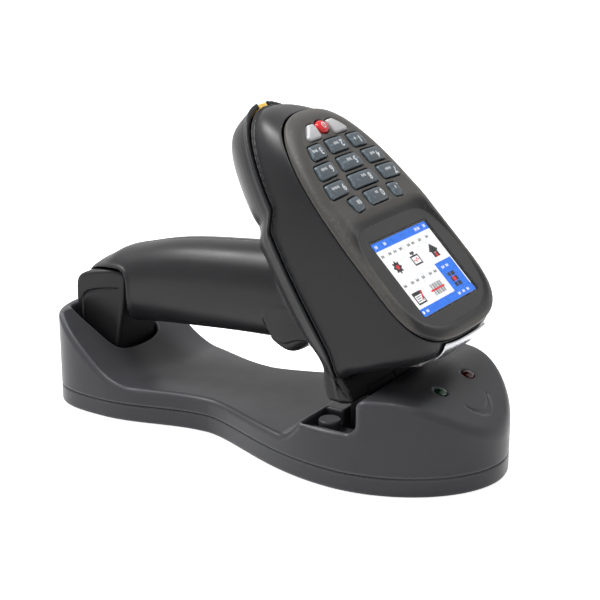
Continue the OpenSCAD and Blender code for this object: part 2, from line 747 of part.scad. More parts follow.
module scan_lens() {
    color([0.2, 0.2, 0.5, 0.6]) in_head() translate([engine_front - 6, 0, engine_top - engine_h / 2])
        rotate([0, 90, 0]) cylinder(r = lens_r, h = 6.6, $fn = 32);
}

beeper_u = -30;
beeper_r = 6;
beeper_h = 5;

module beeper() {
    color([0.1, 0.1, 0.1]) in_head() translate([beeper_u, 0, engine_top - beeper_h]) difference() {
        cylinder(r = beeper_r, h = beeper_h, $fn = 48);
        translate([0, 0, -1]) cylinder(r = beeper_r / 5, h = 3, $fn = 24);
    }
}

// ---------------------------------------------------------------- grip

// Stations of the grip: x, height of the axis, half height, half width. The last one leans into the head.
grip_line = [[-97.4, 50.4, 5.4, 8.6], [-95.6, 49.8, 9.4, 12.4], [-92, 49.8, 12.3, 15.2],
    [-87, 50.4, 14.5, 16.8], [-80, 52, 16.8, 17.6], [-70, 54, 17.8, 18], [-55, 56.8, 18.9, 18],
    [-40, 58.7, 19.5, 18], [-16, 61, 19.8, 18], [6, 62.6, 20.2, 18.4], [35.5, 64.4, 20.8, 19, 8]];

function grip_ring(s, d, x_shift = 0) = [for (t = [0 : 12 : 348])
    let (e = 2 / 2.3, side = sign_pow(sin(t), e), rise = sign_pow(cos(t), e), lean = len(s) > 4 ? s[4] : 0)
    [s[0] + x_shift - lean * rise, (s[3] + grip_half_w - 18 - d) * side, s[1] + (s[2] - d) * rise]];

module grip_form(d) {
    n = len(grip_line);
    // Rings run from the butt to the head; the ring order keeps the faces turned outward.
    loft([for (i = [0 : n - 1]) let (s = grip_line[i]) grip_ring(s, min(d, s[2] - 3), i == 0 ? d : 0)]);
}

chin = [[37, 58], [38.6, 54], [41.4, 48.2], [42.6, 44.6], [42.7, 39.5], [43.4, 35.6], [44.4, 33.3],
    [46.3, 31.8], [55.3, 33.7], [56.5, 35.2], [56.5, 40.4], [54.2, 43.4], [47, 54]];
chin_void = [[41, 56], [43.6, 49], [44.9, 45], [45, 39.8], [45.6, 36.4], [47.4, 34.6], [53.4, 36], [54.2, 37],
    [54.2, 40], [52, 43.4], [47, 51]];
// What is kept of the head's lower shell: all above the grip's underside and the chin.
bowl_keep = [[-60, 160], [120, 160], [120, 31.8], [46.3, 31.8], [44.4, 33.3], [43.4, 35.6], [42.7, 39.5],
    [42.6, 43.6], [-60, 43.6]];

module across(half_w, lift = 0) {
    translate([0, half_w, 0]) rotate([90, 0, 0]) linear_extrude(2 * half_w) children();
}

butt_screw_z = 42;
cap_foot = pocket_floor + seat_gap;
cap_side = [[cap_rear_x, cap_foot + 1], [cap_rear_x, 49], [cap_rear_x + 0.5, 53], [cap_rear_x + 1.8, 55.8],
    [cap_rear_x + 4.8, 57.8], [cap_rear_x + 9, 59.3], [cap_rear_x + 15.5, 60.5], [cap_front_x - 4.5, 61],
    [cap_front_x - 1.4, 60], [cap_front_x, 57.4],
    [cap_front_x, 30], [cap_front_x - 7, 19], [cap_front_x - 9, cap_foot], [cap_rear_x + 1, cap_foot]];
cap_fit = [[cap_rear_x - 9, 16], [cap_rear_x - 9, 49], [cap_rear_x - 0.3, 49], [cap_rear_x + 0.2, 53.2],
    [cap_rear_x + 1.5, 56.2], [cap_rear_x + 4.6, 58.3], [cap_rear_x + 8.9, 59.8], [cap_rear_x + 15.4, 61],
    [cap_front_x - 4, 61.5], [cap_front_x - 1.1, 60.4],
    [cap_front_x + 0.4, 57.6], [cap_front_x - 4.2, 19], [cap_front_x - 6.6, 10]];

pad_r = 2.1;
trigger_x = 3.5;
trigger_front_x = 30;
pivot_x = 26;
pivot_z = 47;
cell_rise = 4.6;
cell_x = -67;
cell_z = 55.6;
shelf_z = 59.6;
rib_x = [-58, -36, -14];
grip_screw_places = [[-48, 43.7], [-25, 45.4]];
grip_head_y = 11.2;

// The grip's screws run across it; their heads are on the far side.
module at_grip_screws() {
    for (p = grip_screw_places) translate([p[0], 0, p[1]]) rotate([-90, 0, 0]) children();
}

module cell_space(r, extra = 0) {
    translate([cell_x - extra, 0, cell_z]) rotate([0, 90 - cell_rise, 0])
        cylinder(r = r, h = cell_l + 2 * extra, $fn = 64);
}

module grip_pair() {
    difference() {
        union() {
            difference() {
                union() {
                    intersection() {
                        in_head() loft([for (s = [0, 0.4, 0.65, 0.85, 0.97]) bowl_ring(s, 0)]);
                        across(50) polygon(bowl_keep);
                    }
                    grip_form(0);
                    across(chin_half_w) polygon(chin);
                    across(tongue_half_w) polygon([[tongue_x0, 36], [tongue_x1 - 3, 36], [tongue_x1 - 2, 34],
                        [tongue_x1, tongue_z + 3], [tongue_x1 - 1, tongue_z], [tongue_x0 + 1, tongue_z],
                        [tongue_x0, tongue_z + 2]]);
                }
                intersection() {
                    in_head() loft([for (s = [0, 0.5, 0.8, 0.95]) bowl_ring(s, wall)]);
                    translate([wall, 0, wall]) across(50) polygon(bowl_keep);
                }
                grip_form(wall);
                across(chin_half_w - wall) polygon(chin_void);
            }
            // Ribs that hold the battery, and the shelf over the trigger.
            intersection() {
                grip_form(wall / 2);
                union() {
                    for (x = rib_x) translate([x, -30, 20]) cube([1.6, 60, 60]);
                    translate([trigger_x - 1.8, -30, shelf_z])
                        cube([trigger_front_x - trigger_x + 4, 60, 1.6]);
                }
            }
            for (side = [0, 1]) mirror([0, side, 0]) translate([pivot_x, trigger_half_w + 0.4, pivot_z])
                rotate([-90, 0, 0]) cylinder(r = 3.2, h = 5.4, $fn = 32);
            intersection() {
                grip_form(wall / 2);
                at_grip_screws() translate([0, 0, -10]) cylinder(r = 3, h = 40, $fn = 32);
            }
        }
        at_grip_screws() {
            translate([0, 0, -9.5]) cylinder(r = 1.12, h = 20, $fn = 24);
            cylinder(r = 1.3, h = 20, $fn = 24);
            translate([0, 0, grip_head_y]) cylinder(r = 2.3, h = 10, $fn = 32);
        }
        cell_space(cell_d / 2 + 0.15, 1);
        across(cap_half_w + 6) polygon(cap_fit);
        translate([trigger_x, -trigger_half_w - 0.4, 25])
            cube([trigger_front_x - trigger_x, 2 * trigger_half_w + 0.8, shelf_z - 25]);
        translate([pivot_x, 0, pivot_z]) rotate([90, 0, 0]) translate([0, 0, -trigger_half_w - 5])
            cylinder(r = trigger_pin_r + 0.02, h = 2 * trigger_half_w + 10, $fn = 32);
        in_head() translate([light_u - 2, -light_half_w - 2 * light_gap, light_foot - 2.1])
            cube([light_l + 0.6, 2 * light_half_w + 4 * light_gap, 5]);
        window_cut(1);
        for (side = [-1, 1]) translate([pin_x, side * pin_y, tongue_z - 1])
            cylinder(r = pad_r + pin_gap, h = 1 + pad_recess + pad_t, $fn = 32);
    }
}

module grip_half(side) {
    color(black_plastic) intersection() {
        grip_pair();
        translate([-150, side > 0 ? 0.02 : -100.02, 0]) cube([300, 100, 200]);
    }
}

module grip_near() grip_half(-1);
module grip_far() grip_half(1);

module battery() {
    color([0.2, 0.45, 0.25]) cell_space(cell_d / 2);
    color(steel) translate([cell_x, 0, cell_z]) rotate([0, 90 - cell_rise, 0])
        translate([0, 0, cell_l]) cylinder(r = 3, h = 1.2, $fn = 32);
}

module battery_spring() {
    color(steel) translate([cell_x, 0, cell_z]) rotate([0, 90 - cell_rise, 0]) translate([0, 0, -4.6])
        coil(5, 0.5, 4.5, 3);
}

// The cap's form: its side outline, its waisted plan, and a front that leans back with round edges.
module cap_form() {
    slant = 11.2;
    intersection() {
        across(cap_half_w + 3) polygon(cap_side);
        translate([cap_front_x, 0, 57.4]) rotate([0, slant, 0]) translate([0, 0, -60]) linear_extrude(80)
            polygon(round_quad([[0, cap_half_w - 4.2], [-60, cap_half_w + 6], [-60, -cap_half_w - 6],
                [0, -cap_half_w + 4.2]], 3, 0));
        linear_extrude(80) polygon(round_quad([[cap_front_x + 20, cap_half_w], [cap_rear_x, cap_half_w],
            [cap_rear_x, -cap_half_w], [cap_front_x + 20, -cap_half_w]], 3, 0));
    }
}

module butt_cap() {
    color(black_plastic) difference() {
        cap_form();
        cell_space(cell_d / 2 + 0.3, 4.7);
        translate([cap_rear_x - 1, 0, butt_screw_z]) rotate([0, 90, 0]) cylinder(r = 2.3, h = 3, $fn = 32);
        translate([cap_rear_x, 0, butt_screw_z]) rotate([0, 90, 0]) cylinder(r = 1.12, h = 14, $fn = 24);
    }
}

module butt_screw() {
    color(steel) translate([cap_rear_x + 0.4, 0, butt_screw_z]) rotate([0, 90, 0]) difference() {
        union() {
            cylinder(r = 2.1, h = 1.6, $fn = 24);
            cylinder(r = 1.1, h = 10, $fn = 24);
        }
        translate([0, 0, -1]) cylinder(r = 0.9, h = 1.8, $fn = 6);
    }
}

module charge_pads() {
    color(gold) for (side = [-1, 1]) translate([pin_x, side * pin_y, tongue_z + pad_recess])
        cylinder(r = pad_r, h = pad_t, $fn = 32);
}

// ---------------------------------------------------------------- trigger

spring_x = 12;
spring_seat = 52.4;
trigger_low = 37.8;
trigger_top = 53.7;
// Height of the trigger's rear corner when it is pulled all the way, and the foot of the switch over it.
pulled_z = pivot_z + (pivot_x - trigger_x - 0.5) * sin(trigger_swing)
    + (trigger_top - pivot_z) * cos(trigger_swing);
switch_foot = pulled_z + 0.1;
switch_board_t = 1.2;
trigger_side = [[trigger_x + 0.5, trigger_top], [trigger_x + 0.6, 47], [trigger_x + 0.9, 42], [5.4, 39.8],
    [7, 38.6],
    [9.6, 38], [12.2, 38.3], [15.5, 39.5], [18, 41], [20, 42.2], [23, 43.6], [26, 44.2]];

module trigger() {
    color(black_plastic) difference() {
        union() {
            intersection() {
                across(trigger_half_w)
                    polygon(concat(trigger_side, [[pivot_x, 50.2], [18, 51.6], [8, trigger_top]]));
                // Round lower edges, seen from the front.
                translate([0, 0, trigger_low]) rotate([90, 0, 90]) linear_extrude(pivot_x + 4)
                    polygon(round_box(-trigger_half_w, trigger_half_w, 0, 30, 6));
            }
            translate([pivot_x, trigger_half_w, pivot_z]) rotate([90, 0, 0])
                cylinder(r = 3.2, h = 2 * trigger_half_w, $fn = 32);
        }
        translate([pivot_x, 50, pivot_z]) rotate([90, 0, 0])
            cylinder(r = trigger_pin_r + pin_gap, h = 100, $fn = 32);
        translate([spring_x, 0, spring_seat]) cylinder(r = 3.2, h = 10, $fn = 32);
    }
}

module trigger_pin() {
    color(steel) translate([pivot_x, 0, pivot_z]) rotate([90, 0, 0]) translate([0, 0, -trigger_half_w - 4.6])
        cylinder(r = trigger_pin_r, h = 2 * trigger_half_w + 9.2, $fn = 32);
}

module trigger_spring() {
    color(steel) translate([spring_x, 0, spring_seat + 0.05])
        coil(2.6, 0.3, shelf_z - spring_seat - 0.1, 4);
}

module trigger_board() {
    color(board_green) translate([trigger_x + 0.7, -7, shelf_z - switch_board_t])
        cube([5, 14, switch_board_t]);
}

module trigger_switch() {
    color([0.1, 0.1, 0.1]) translate([trigger_x + 1.2, -2.5, switch_foot])
        cube([4, 5, shelf_z - switch_board_t - switch_foot]);
}

module grip_screws() {
    color(steel) at_grip_screws() difference() {
        union() {
            translate([0, 0, -9]) cylinder(r = 1.1, h = grip_head_y + 9.1, $fn = 24);
            translate([0, 0, grip_head_y + 0.02]) cylinder(r = 2.1, h = 1.4, $fn = 24);
        }
        translate([0, 0, grip_head_y + 0.8]) cylinder(r = 0.9, h = 2, $fn = 6);
    }
}

// ---------------------------------------------------------------- nodes

cradle_shell();
cradle_base();
cradle_feet();
cradle_screws();
ballast_plate();
cradle_board();
data_socket();
radio_module();
green_lens();
red_lens();
contact_block();
contact_pin_near();
contact_pin_far();
contact_spring_near();
contact_spring_far();
upper_housing();
face_panel();
screen_window();
display();
key_mat();
main_board();
inner_frame();
key_1();
key_2();
key_3();
key_4();
key_5();
key_6();
key_7();
key_8();
key_9();
key_0();
key_f();
key_point();
power_key();
corner_key_near();
corner_key_far();
name_plate();
light_pipe();
window_frame();
scan_window();
scan_engine();
scan_lens();
beeper();
grip_near();
grip_far();
battery();
battery_spring();
butt_cap();
butt_screw();
charge_pads();
trigger();
trigger_pin();
trigger_spring();
trigger_board();
trigger_switch();
grip_screws();
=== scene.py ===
import math

import bmesh
import bpy
import numpy as np
import openvdb as vdb
from mathutils import Matrix, Vector


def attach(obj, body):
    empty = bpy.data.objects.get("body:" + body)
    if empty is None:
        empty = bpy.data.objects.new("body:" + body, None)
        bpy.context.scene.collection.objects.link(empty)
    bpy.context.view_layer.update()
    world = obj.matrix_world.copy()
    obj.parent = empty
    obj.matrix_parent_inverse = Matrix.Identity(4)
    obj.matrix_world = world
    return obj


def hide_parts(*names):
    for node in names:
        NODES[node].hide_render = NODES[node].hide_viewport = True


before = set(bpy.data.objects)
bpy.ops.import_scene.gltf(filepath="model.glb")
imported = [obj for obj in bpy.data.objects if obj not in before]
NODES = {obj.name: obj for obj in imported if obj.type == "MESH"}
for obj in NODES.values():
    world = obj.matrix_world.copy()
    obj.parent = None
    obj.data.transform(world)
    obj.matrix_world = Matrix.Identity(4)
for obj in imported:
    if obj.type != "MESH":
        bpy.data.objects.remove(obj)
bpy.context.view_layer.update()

# A factor on every sample spacing; above 1 it gives coarser meshes.
FINE = 1.0
MM = 0.001

# --- camera, lamps and floor

CAMERA_AT = (0.3393, -0.5062, 0.2562)
CAMERA_AZIMUTH = math.radians(33.0)
CAMERA_ELEVATION = math.radians(18.11)
LENS, SENSOR, SIGHT_END = 90.9, 36, 20


def placed(name, data):
    """A new object in the scene."""
    thing = bpy.data.objects.new(name, data)
    bpy.context.scene.collection.objects.link(thing)
    return thing


def aimed(name, data, at, along):
    """A new object at a place, looking along a direction."""
    thing = placed(name, data)
    thing.matrix_world = Matrix.Translation(at) @ along.to_track_quat("-Z", "Y").to_matrix().to_4x4()
    return thing


sight = Vector((-math.sin(CAMERA_AZIMUTH) * math.cos(CAMERA_ELEVATION),
                math.cos(CAMERA_AZIMUTH) * math.cos(CAMERA_ELEVATION), -math.sin(CAMERA_ELEVATION)))
camera_data = bpy.data.cameras.new("camera")
camera_data.lens = LENS
camera_data.sensor_width = SENSOR
camera_data.clip_end = SIGHT_END
bpy.context.scene.camera = aimed("camera", camera_data, CAMERA_AT, sight)
bpy.context.scene.view_settings.view_transform = "Standard"


def lamp(name, at, size, watts, look=(0, 0, 0.05)):
    data = bpy.data.lights.new(name, "AREA")
    data.shape = "SQUARE"
    data.size = size
    data.energy = watts
    aimed(name, data, at, Vector(look) - Vector(at))


lamp("key_lamp", (-0.8, -0.5, 1.15), 0.45, 5)
lamp("top_lamp", (0.06, 0.06, 1.4), 0.55, 12)
lamp("side_lamp", (0.9, -0.9, 1.0), 0.5, 2)
lamp("shoulder_lamp", (-0.56, -0.08, 0.83), 0.25, 5, look=(0, -0.03, 0.125))

# --- material helpers


class Nodes:
    """Short calls for a node tree; a node given as an input stands for its first output."""

    def __init__(self, tree):
        self.tree = tree

    def add(self, kind, inputs=None, **settings):
        node = self.tree.nodes.new("ShaderNode" + kind)
        for key, value in settings.items():
            setattr(node, key, value)
        for key, value in (inputs or {}).items():
            if isinstance(value, bpy.types.Node):
                value = value.outputs[0]
            if isinstance(value, bpy.types.NodeSocket):
                self.tree.links.new(value, node.inputs[key])
            else:
                node.inputs[key].default_value = value
        return node


def seen_ray(nodes):
    """1 where a ray comes from the camera, a mirror or glass."""
    ray = nodes.add("LightPath").outputs
    seen = nodes.add("Math", {0: ray["Is Camera Ray"], 1: ray["Is Glossy Ray"]}, operation="MAXIMUM")
    return nodes.add("Math", {0: seen, 1: ray["Is Transmission Ray"]}, operation="MAXIMUM")


def mix(nodes, factor, a, b):
    """A colour between a and b."""
    return nodes.add("Mix", {0: factor, 6: a, 7: b}, data_type="RGBA").outputs[2]


def object_place(nodes):
    return nodes.add("TexCoord").outputs["Object"]


def noise(nodes, place, scale, detail=2, rough=0.5):
    return nodes.add("TexNoise", {"Vector": place, "Scale": scale, "Detail": detail, "Roughness": rough})


LOOKS = {}


def new_material(name):
    material = bpy.data.materials.new(name)
    material.use_nodes = True
    material.node_tree.nodes.clear()
    LOOKS[name] = material
    return Nodes(material.node_tree)


def rgb(r, g, b):
    """A colour given as the numbers that a screen shows, 0 to 255."""
    def linear(c):
        c /= 255
        return c / 12.92 if c <= 0.04045 else ((c + 0.055) / 1.055) ** 2.4
    return (linear(r), linear(g), linear(b), 1)


def shade(colour, k):
    return (colour[0] * k, colour[1] * k, colour[2] * k, 1)


# The head's middle in millimetres, its tilt, and the half size and fading edge, in metres, of the painted shade in the
# screen bay.
HEAD_AT, HEAD_TILT = (69.4, 0, 83.06), 45
BAY_HALF, BAY_FADE = (0.0186, 0.023, 1), (0.0072, 0.0105)


def bay_shade_mask(nodes, place):
    """Mask of the painted shade: 0 in the bay round the screen, where the panel is painted darker, rising to 1 towards
    the keys and the rim.
    """
    centre = [c * MM for c in HEAD_AT]
    turned = nodes.add("VectorRotate", {"Vector": place, "Center": centre, "Axis": (0, 1, 0),
                                        "Angle": -math.radians(HEAD_TILT)}, rotation_type="AXIS_ANGLE")
    moved = nodes.add("VectorMath", {0: turned, 1: centre}, operation="SUBTRACT")
    flat = nodes.add("VectorMath", {0: moved}, operation="ABSOLUTE")
    past = nodes.add("VectorMath", {0: flat, 1: BAY_HALF}, operation="SUBTRACT")
    out = nodes.add("VectorMath", {0: past, 1: (0, 0, 0)}, operation="MAXIMUM")
    reach = nodes.add("VectorMath", {0: out}, operation="LENGTH").outputs["Value"]
    return nodes.add("MapRange", {"Value": reach, "From Min": BAY_FADE[0], "From Max": BAY_FADE[1]},
                     interpolation_type="SMOOTHSTEP")


def plastic(name, colour, rough=0.42, grain=0.25, grain_size=0.35, vary=0.12, edge_glint=0.0, coat=0.0, specular=0.25,
            bay=None):
    """Moulded plastic: a fine spark-eroded grain, faint clouds in tone and gloss, and a painted highlight along sharp
    edges.
    """
    nodes = new_material(name)
    place = object_place(nodes)
    clouds = noise(nodes, place, 60, 4, 0.6)
    base = mix(nodes, clouds, shade(colour, 1 - vary), shade(colour, 1 + vary))
    # Painted shade: the bay round the screen takes the darker colour bay.
    if bay:
        base = mix(nodes, bay_shade_mask(nodes, place), bay, base)
    # Painted highlight: where the surface bends sharply, the colour is painted up to 3.5 times lighter.
    if edge_glint > 0:
        edge = nodes.add("MapRange", {"Value": nodes.add("NewGeometry").outputs["Pointiness"],
                                      "From Min": 0.504, "From Max": 0.53, "To Min": 0, "To Max": edge_glint})
        base = mix(nodes, edge, base, shade(colour, 3.5))
    fine = noise(nodes, place, 1000 / grain_size, 2, 0.55)
    gloss = nodes.add("MapRange", {"Value": clouds, "From Min": 0.3, "From Max": 0.7, "To Min": rough - 0.04,
                                   "To Max": rough + 0.05})
    bump = nodes.add("Bump", {"Height": fine, "Strength": grain, "Distance": 0.0001})
    shader = nodes.add("BsdfPrincipled", {
        "Base Color": base, "Roughness": gloss, "Normal": bump, "Specular IOR Level": specular,
        "Coat Weight": coat, "Coat Roughness": 0.15})
    nodes.add("OutputMaterial", {"Surface": shader})


def clear(name, colour, rough=0.05, glow=0.0, density=1.0, ior=1.49):
    """Tinted clear plastic with a faint swirl in its colour."""
    nodes = new_material(name)
    place = object_place(nodes)
    swirl = noise(nodes, place, 400)
    tone = mix(nodes, swirl, shade(colour, 0.75), shade(colour, 1.2))
    shader = nodes.add("BsdfPrincipled", {
        "Base Color": tone, "Roughness": rough, "Transmission Weight": density, "IOR": ior,
        "Emission Color": colour, "Emission Strength": glow})
    nodes.add("OutputMaterial", {"Surface": shader})


def metal(name, colour, rough=0.25, brush=(1, 1, 1), grain=0.2):
    """Bare metal, brushed along one axis when brush stretches the noise."""
    nodes = new_material(name)
    place = object_place(nodes)
    scaled = nodes.add("Mapping", {"Vector": place, "Scale": brush})
    streaks = noise(nodes, scaled, 3000, 3)
    tone = mix(nodes, streaks, shade(colour, 0.86), shade(colour, 1.08))
    gloss = nodes.add("MapRange", {"Value": streaks, "To Min": rough * 0.7, "To Max": rough * 1.4})
    bump = nodes.add("Bump", {"Height": streaks, "Strength": grain, "Distance": 0.00005})
    shader = nodes.add("BsdfPrincipled", {"Base Color": tone, "Metallic": 1.0, "Roughness": gloss, "Normal": bump})
    nodes.add("OutputMaterial", {"Surface": shader})


def glowing(name, colour):
    """A lit field of the display: cells of slightly uneven brightness."""
    nodes = new_material(name)
    place = object_place(nodes)
    cells = noise(nodes, place, 2600, 1)
    tone = mix(nodes, cells, shade(colour, 0.985), shade(colour, 1.015))
    shader = nodes.add("BsdfPrincipled", {
        "Base Color": (0.01, 0.01, 0.01, 1), "Roughness": 0.3, "Specular IOR Level": 0.05, "Emission Color": tone,
        "Emission Strength": 1.06})
    nodes.add("OutputMaterial", {"Surface": shader})


# edge_glint paints highlights along the edges of the housing, cradle, panel and blue keys.
plastic("housing_plastic", rgb(31, 31, 33), rough=0.34, grain=0.14, edge_glint=0.12, specular=0.24)
plastic("cradle_plastic", rgb(59, 59, 62), rough=0.34, grain=0.16, edge_glint=0.3, specular=0.22)
plastic("trigger_plastic", rgb(46, 46, 48), rough=0.4, grain=0.18)
# The panel's bay round the screen is painted nearly black: painted shade.
plastic("panel_plastic", rgb(74, 72, 69), rough=0.38, grain=0.22, grain_size=0.25, edge_glint=0.1,
        bay=rgb(30, 30, 32))
plastic("blue_key", rgb(74, 84, 91), rough=0.32, grain=0.1, edge_glint=0.45, specular=0.4)
plastic("grey_key", rgb(198, 198, 200), rough=0.35, grain=0.12, vary=0.06)
plastic("power_key", rgb(226, 26, 30), rough=0.22, grain=0.05, vary=0.08, coat=0.4)
plastic("foot_rubber", rgb(30, 30, 30), rough=0.8, grain=0.5)
plastic("mat_rubber", rgb(34, 34, 36), rough=0.7, grain=0.4)
# Besides the scan window's frame, this paints shade: the throat under the head, the bulkhead behind the cap and the
# cap's front are made of it.
plastic("black_insert", rgb(16, 16, 17), rough=0.6, grain=0.3, specular=0.12)
plastic("circuit_board", rgb(22, 92, 52), rough=0.35, grain=0.4, vary=0.3)
plastic("cell_sleeve", rgb(70, 130, 84), rough=0.3, grain=0.1)
clear("amber_pipe", rgb(250, 206, 96), rough=0.15, glow=0.35, density=0.4)
clear("green_lens", rgb(12, 96, 50), rough=0.08, density=0.7)
clear("red_lens", rgb(120, 14, 16), rough=0.08, density=0.7)
clear("scan_glass", rgb(90, 8, 12), rough=0.04, density=0.8)
clear("lens_glass", rgb(120, 120, 200), rough=0.02)
metal("silver_plate", rgb(188, 189, 192), rough=0.28, brush=(1, 0.03, 1))
metal("gold_contact", rgb(226, 182, 84), rough=0.25)
metal("steel", rgb(176, 178, 182), rough=0.3)
metal("dark_steel", rgb(38, 39, 41), rough=0.45)
plastic("sign_white", rgb(228, 231, 233), rough=0.5, grain=0.05, vary=0.05)
clear("screen_glass", rgb(254, 254, 254), rough=0.02, ior=1.18)
plastic("display_glass", rgb(24, 26, 30), rough=0.2, grain=0.02)
glowing("screen_white", rgb(252, 253, 255))
glowing("screen_blue", rgb(8, 116, 240))
glowing("screen_black", rgb(20, 20, 24))
glowing("screen_red", rgb(222, 28, 40))


def wear_slots():
    """Gives every CAD node that stays in view the procedural material of its slot."""
    for node in NODES.values():
        for held in node.material_slots:
            name = held.material.name.split(".")[0] if held.material else ""
            if name in LOOKS:
                held.material = LOOKS[name]
    for held in NODES["grip_screws"].material_slots:
        held.material = LOOKS["dark_steel"]


# --- forms as distance fields, in millimetres


class Space:
    """Sample points, h apart, in the world's frame or the head's; aside is the distance from the mirror plane."""

    def __init__(self, low, high, h, place=Matrix.Identity(4)):
        self.h = h
        self.start = np.floor(np.array(low) / h).astype(int)
        self.count = np.ceil(np.array(high) / h).astype(int) - self.start + 1
        axes = [((self.start[i] + np.arange(self.count[i])) * h).astype(np.float32) for i in range(3)]
        self.x, self.y, self.z = axes[0][:, None, None], axes[1][None, :, None], axes[2][None, None, :]
        self.aside = np.abs(self.y)
        self.place = place

    def xy(self, outline):
        return distance(self.x[:, :, 0], self.y[:, :, 0], outline)[:, :, None]

    def xz(self, outline):
        return distance(self.x[:, 0, :], self.z[:, 0, :], outline)[:, None, :]

    def yz(self, outline):
        return distance(self.y[0, :, :], self.z[0, :, :], outline)[None, :, :]

    def pair(self, x, y, r):
        """Two upright posts, one on each side of the mirror plane."""
        return np.hypot(self.x - x, self.aside - y) - r

    def rings(self, rings, band):
        """Distance to the closed solid through a stack of rings."""
        points = np.array([p for ring in rings for p in ring], np.float32)
        n, m = len(rings[0]), len(rings)
        i = np.arange(n)
        k = (i + 1) % n
        quads = [np.stack([j * n + i, j * n + k, (j + 1) * n + k, (j + 1) * n + i], 1) for j in range(m - 1)]
        half = np.arange(n // 2)
        cap = np.stack([half, (half + 1) % n, (n - half - 1) % n, (n - half) % n], 1)
        faces = np.concatenate(quads + [cap, cap[:, ::-1] + (m - 1) * n]).astype(np.uint32)
        triangles = np.concatenate([faces[:, [0, 1, 2]], faces[:, [0, 2, 3]]])
        good = ((triangles[:, 0] != triangles[:, 1]) & (triangles[:, 1] != triangles[:, 2])
                & (triangles[:, 0] != triangles[:, 2]))
        grid = vdb.FloatGrid.createLevelSetFromPolygons(
            points, triangles=triangles[good], transform=vdb.createLinearTransform(voxelSize=self.h),
            halfWidth=band / self.h)
        field = np.empty(self.count, np.float32)
        grid.copyToArray(field, ijk=tuple(int(v) for v in self.start))
        return field


def distance(px, py, outline):
    """Signed distance to a closed outline, negative inside."""
    px, py = np.broadcast_arrays(px, py)
    nearest = np.full(px.shape, 1e9, np.float32)
    inside = np.zeros(px.shape, bool)
    for (ax, ay), (bx, by) in zip(outline, outline[1:] + outline[:1]):
        ex, ey = bx - ax, by - ay
        length2 = ex * ex + ey * ey
        if length2 < 1e-12:
            continue
        t = np.clip(((px - ax) * ex + (py - ay) * ey) / length2, 0, 1)
        nearest = np.minimum(nearest, (px - ax - ex * t) ** 2 + (py - ay - ey * t) ** 2)
        if ay != by:
            inside ^= ((ay > py) != (by > py)) & (px < ex * (py - ay) / ey + ax)
    return np.where(inside, -1, 1).astype(np.float32) * np.sqrt(nearest)


def both(a, b, r=0.0):
    """What is inside a and b, with the edge between them rounded to r."""
    if r <= 0:
        return np.maximum(a, b)
    return np.minimum(-r, np.maximum(a, b)) + np.hypot(np.maximum(a + r, 0), np.maximum(b + r, 0))


def all_of(*fields):
    """What is inside every field, with sharp edges."""
    result = fields[0]
    for field in fields[1:]:
        result = np.maximum(result, field)
    return result


def either(a, b, r=0.0):
    return -both(-a, -b, r)


def less(a, b, r=0.0):
    return both(a, -b, r)


def smooth_outline(outline, times=3):
    """Corners of a closed outline cut away again and again, until it is a curve."""
    for _ in range(times):
        following = outline[1:] + outline[:1]
        outline = [q for (ax, ay), (bx, by) in zip(outline, following)
                   for q in ((0.75 * ax + 0.25 * bx, 0.75 * ay + 0.25 * by),
                             (0.25 * ax + 0.75 * bx, 0.25 * ay + 0.75 * by))]
    return outline


def mirrored(half):
    """A closed outline from the half of it that has y above 0; both ends lie on the axis."""
    return list(half) + [(x, -y) for x, y in reversed(half[1:-1])]


def mesh_object(name, points, quads):
    """A smooth-shaded object from points in metres and faces of four corners."""
    mesh = bpy.data.meshes.new(name)
    mesh.vertices.add(len(points))
    mesh.vertices.foreach_set("co", np.asarray(points, np.float32).ravel())
    mesh.loops.add(4 * len(quads))
    mesh.loops.foreach_set("vertex_index", np.asarray(quads, np.int32).ravel())
    mesh.polygons.add(len(quads))
    mesh.polygons.foreach_set("loop_start", np.arange(0, 4 * len(quads), 4, dtype=np.int32))
    mesh.polygons.foreach_set("use_smooth", np.ones(len(quads), bool))
    mesh.update(calc_edges=True)
    mesh.validate()
    return placed(name, mesh)


PULL, PUSH = 0.5, -0.52


def relax(points, quads, rounds):
    """Evens the points out along the surface; a push outwards after each pull inwards keeps its size."""
    edges = np.concatenate([quads[:, [0, 1]], quads[:, [1, 2]], quads[:, [2, 3]], quads[:, [3, 0]]])
    degree = np.bincount(edges.ravel(), minlength=len(points))[:, None]
    for step in range(2 * rounds):
        total = np.stack([np.bincount(edges[:, 0], points[edges[:, 1], c], len(points))
                          + np.bincount(edges[:, 1], points[edges[:, 0], c], len(points)) for c in range(3)], 1)
        points = points + (PUSH if step % 2 else PULL) * (total / np.maximum(degree, 1) - points)
    return points


def skin(space, field, name, slot, replaced=(), body="terminal", rounds=4, flip_y=False, look=None):
    """The surface of a field as a piece that rides on a body."""
    field = np.array(np.broadcast_to(field, space.count), np.float32, order="C")
    grid = vdb.FloatGrid(2.0)
    grid.copyFromArray(field, ijk=tuple(int(v) for v in space.start))
    grid.transform = vdb.createLinearTransform(voxelSize=space.h)
    points, quads = grid.convertToQuads(isovalue=0.0)
    quads = quads.astype(np.int64)
    points = relax(points.astype(np.float64), quads, rounds)
    place = np.array(space.place)
    points = points @ place[:3, :3].T + place[:3, 3]
    if flip_y:
        points[:, 1] *= -1
    a, b, c, d = (points[quads[:, corner]] for corner in range(4))
    volume = np.einsum("ij,ij->i", a, np.cross(b, c)).sum() + np.einsum("ij,ij->i", a, np.cross(c, d)).sum()
    if volume < 0:
        quads = quads[:, ::-1]
    dress(mesh_object(name, points * MM, quads), body, look or slot, replaced)


def dress(thing, body, look, replaced=()):
    thing.data.materials.append(LOOKS[look])
    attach(thing, body)
    if replaced:
        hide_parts(*replaced)


# --- cradle

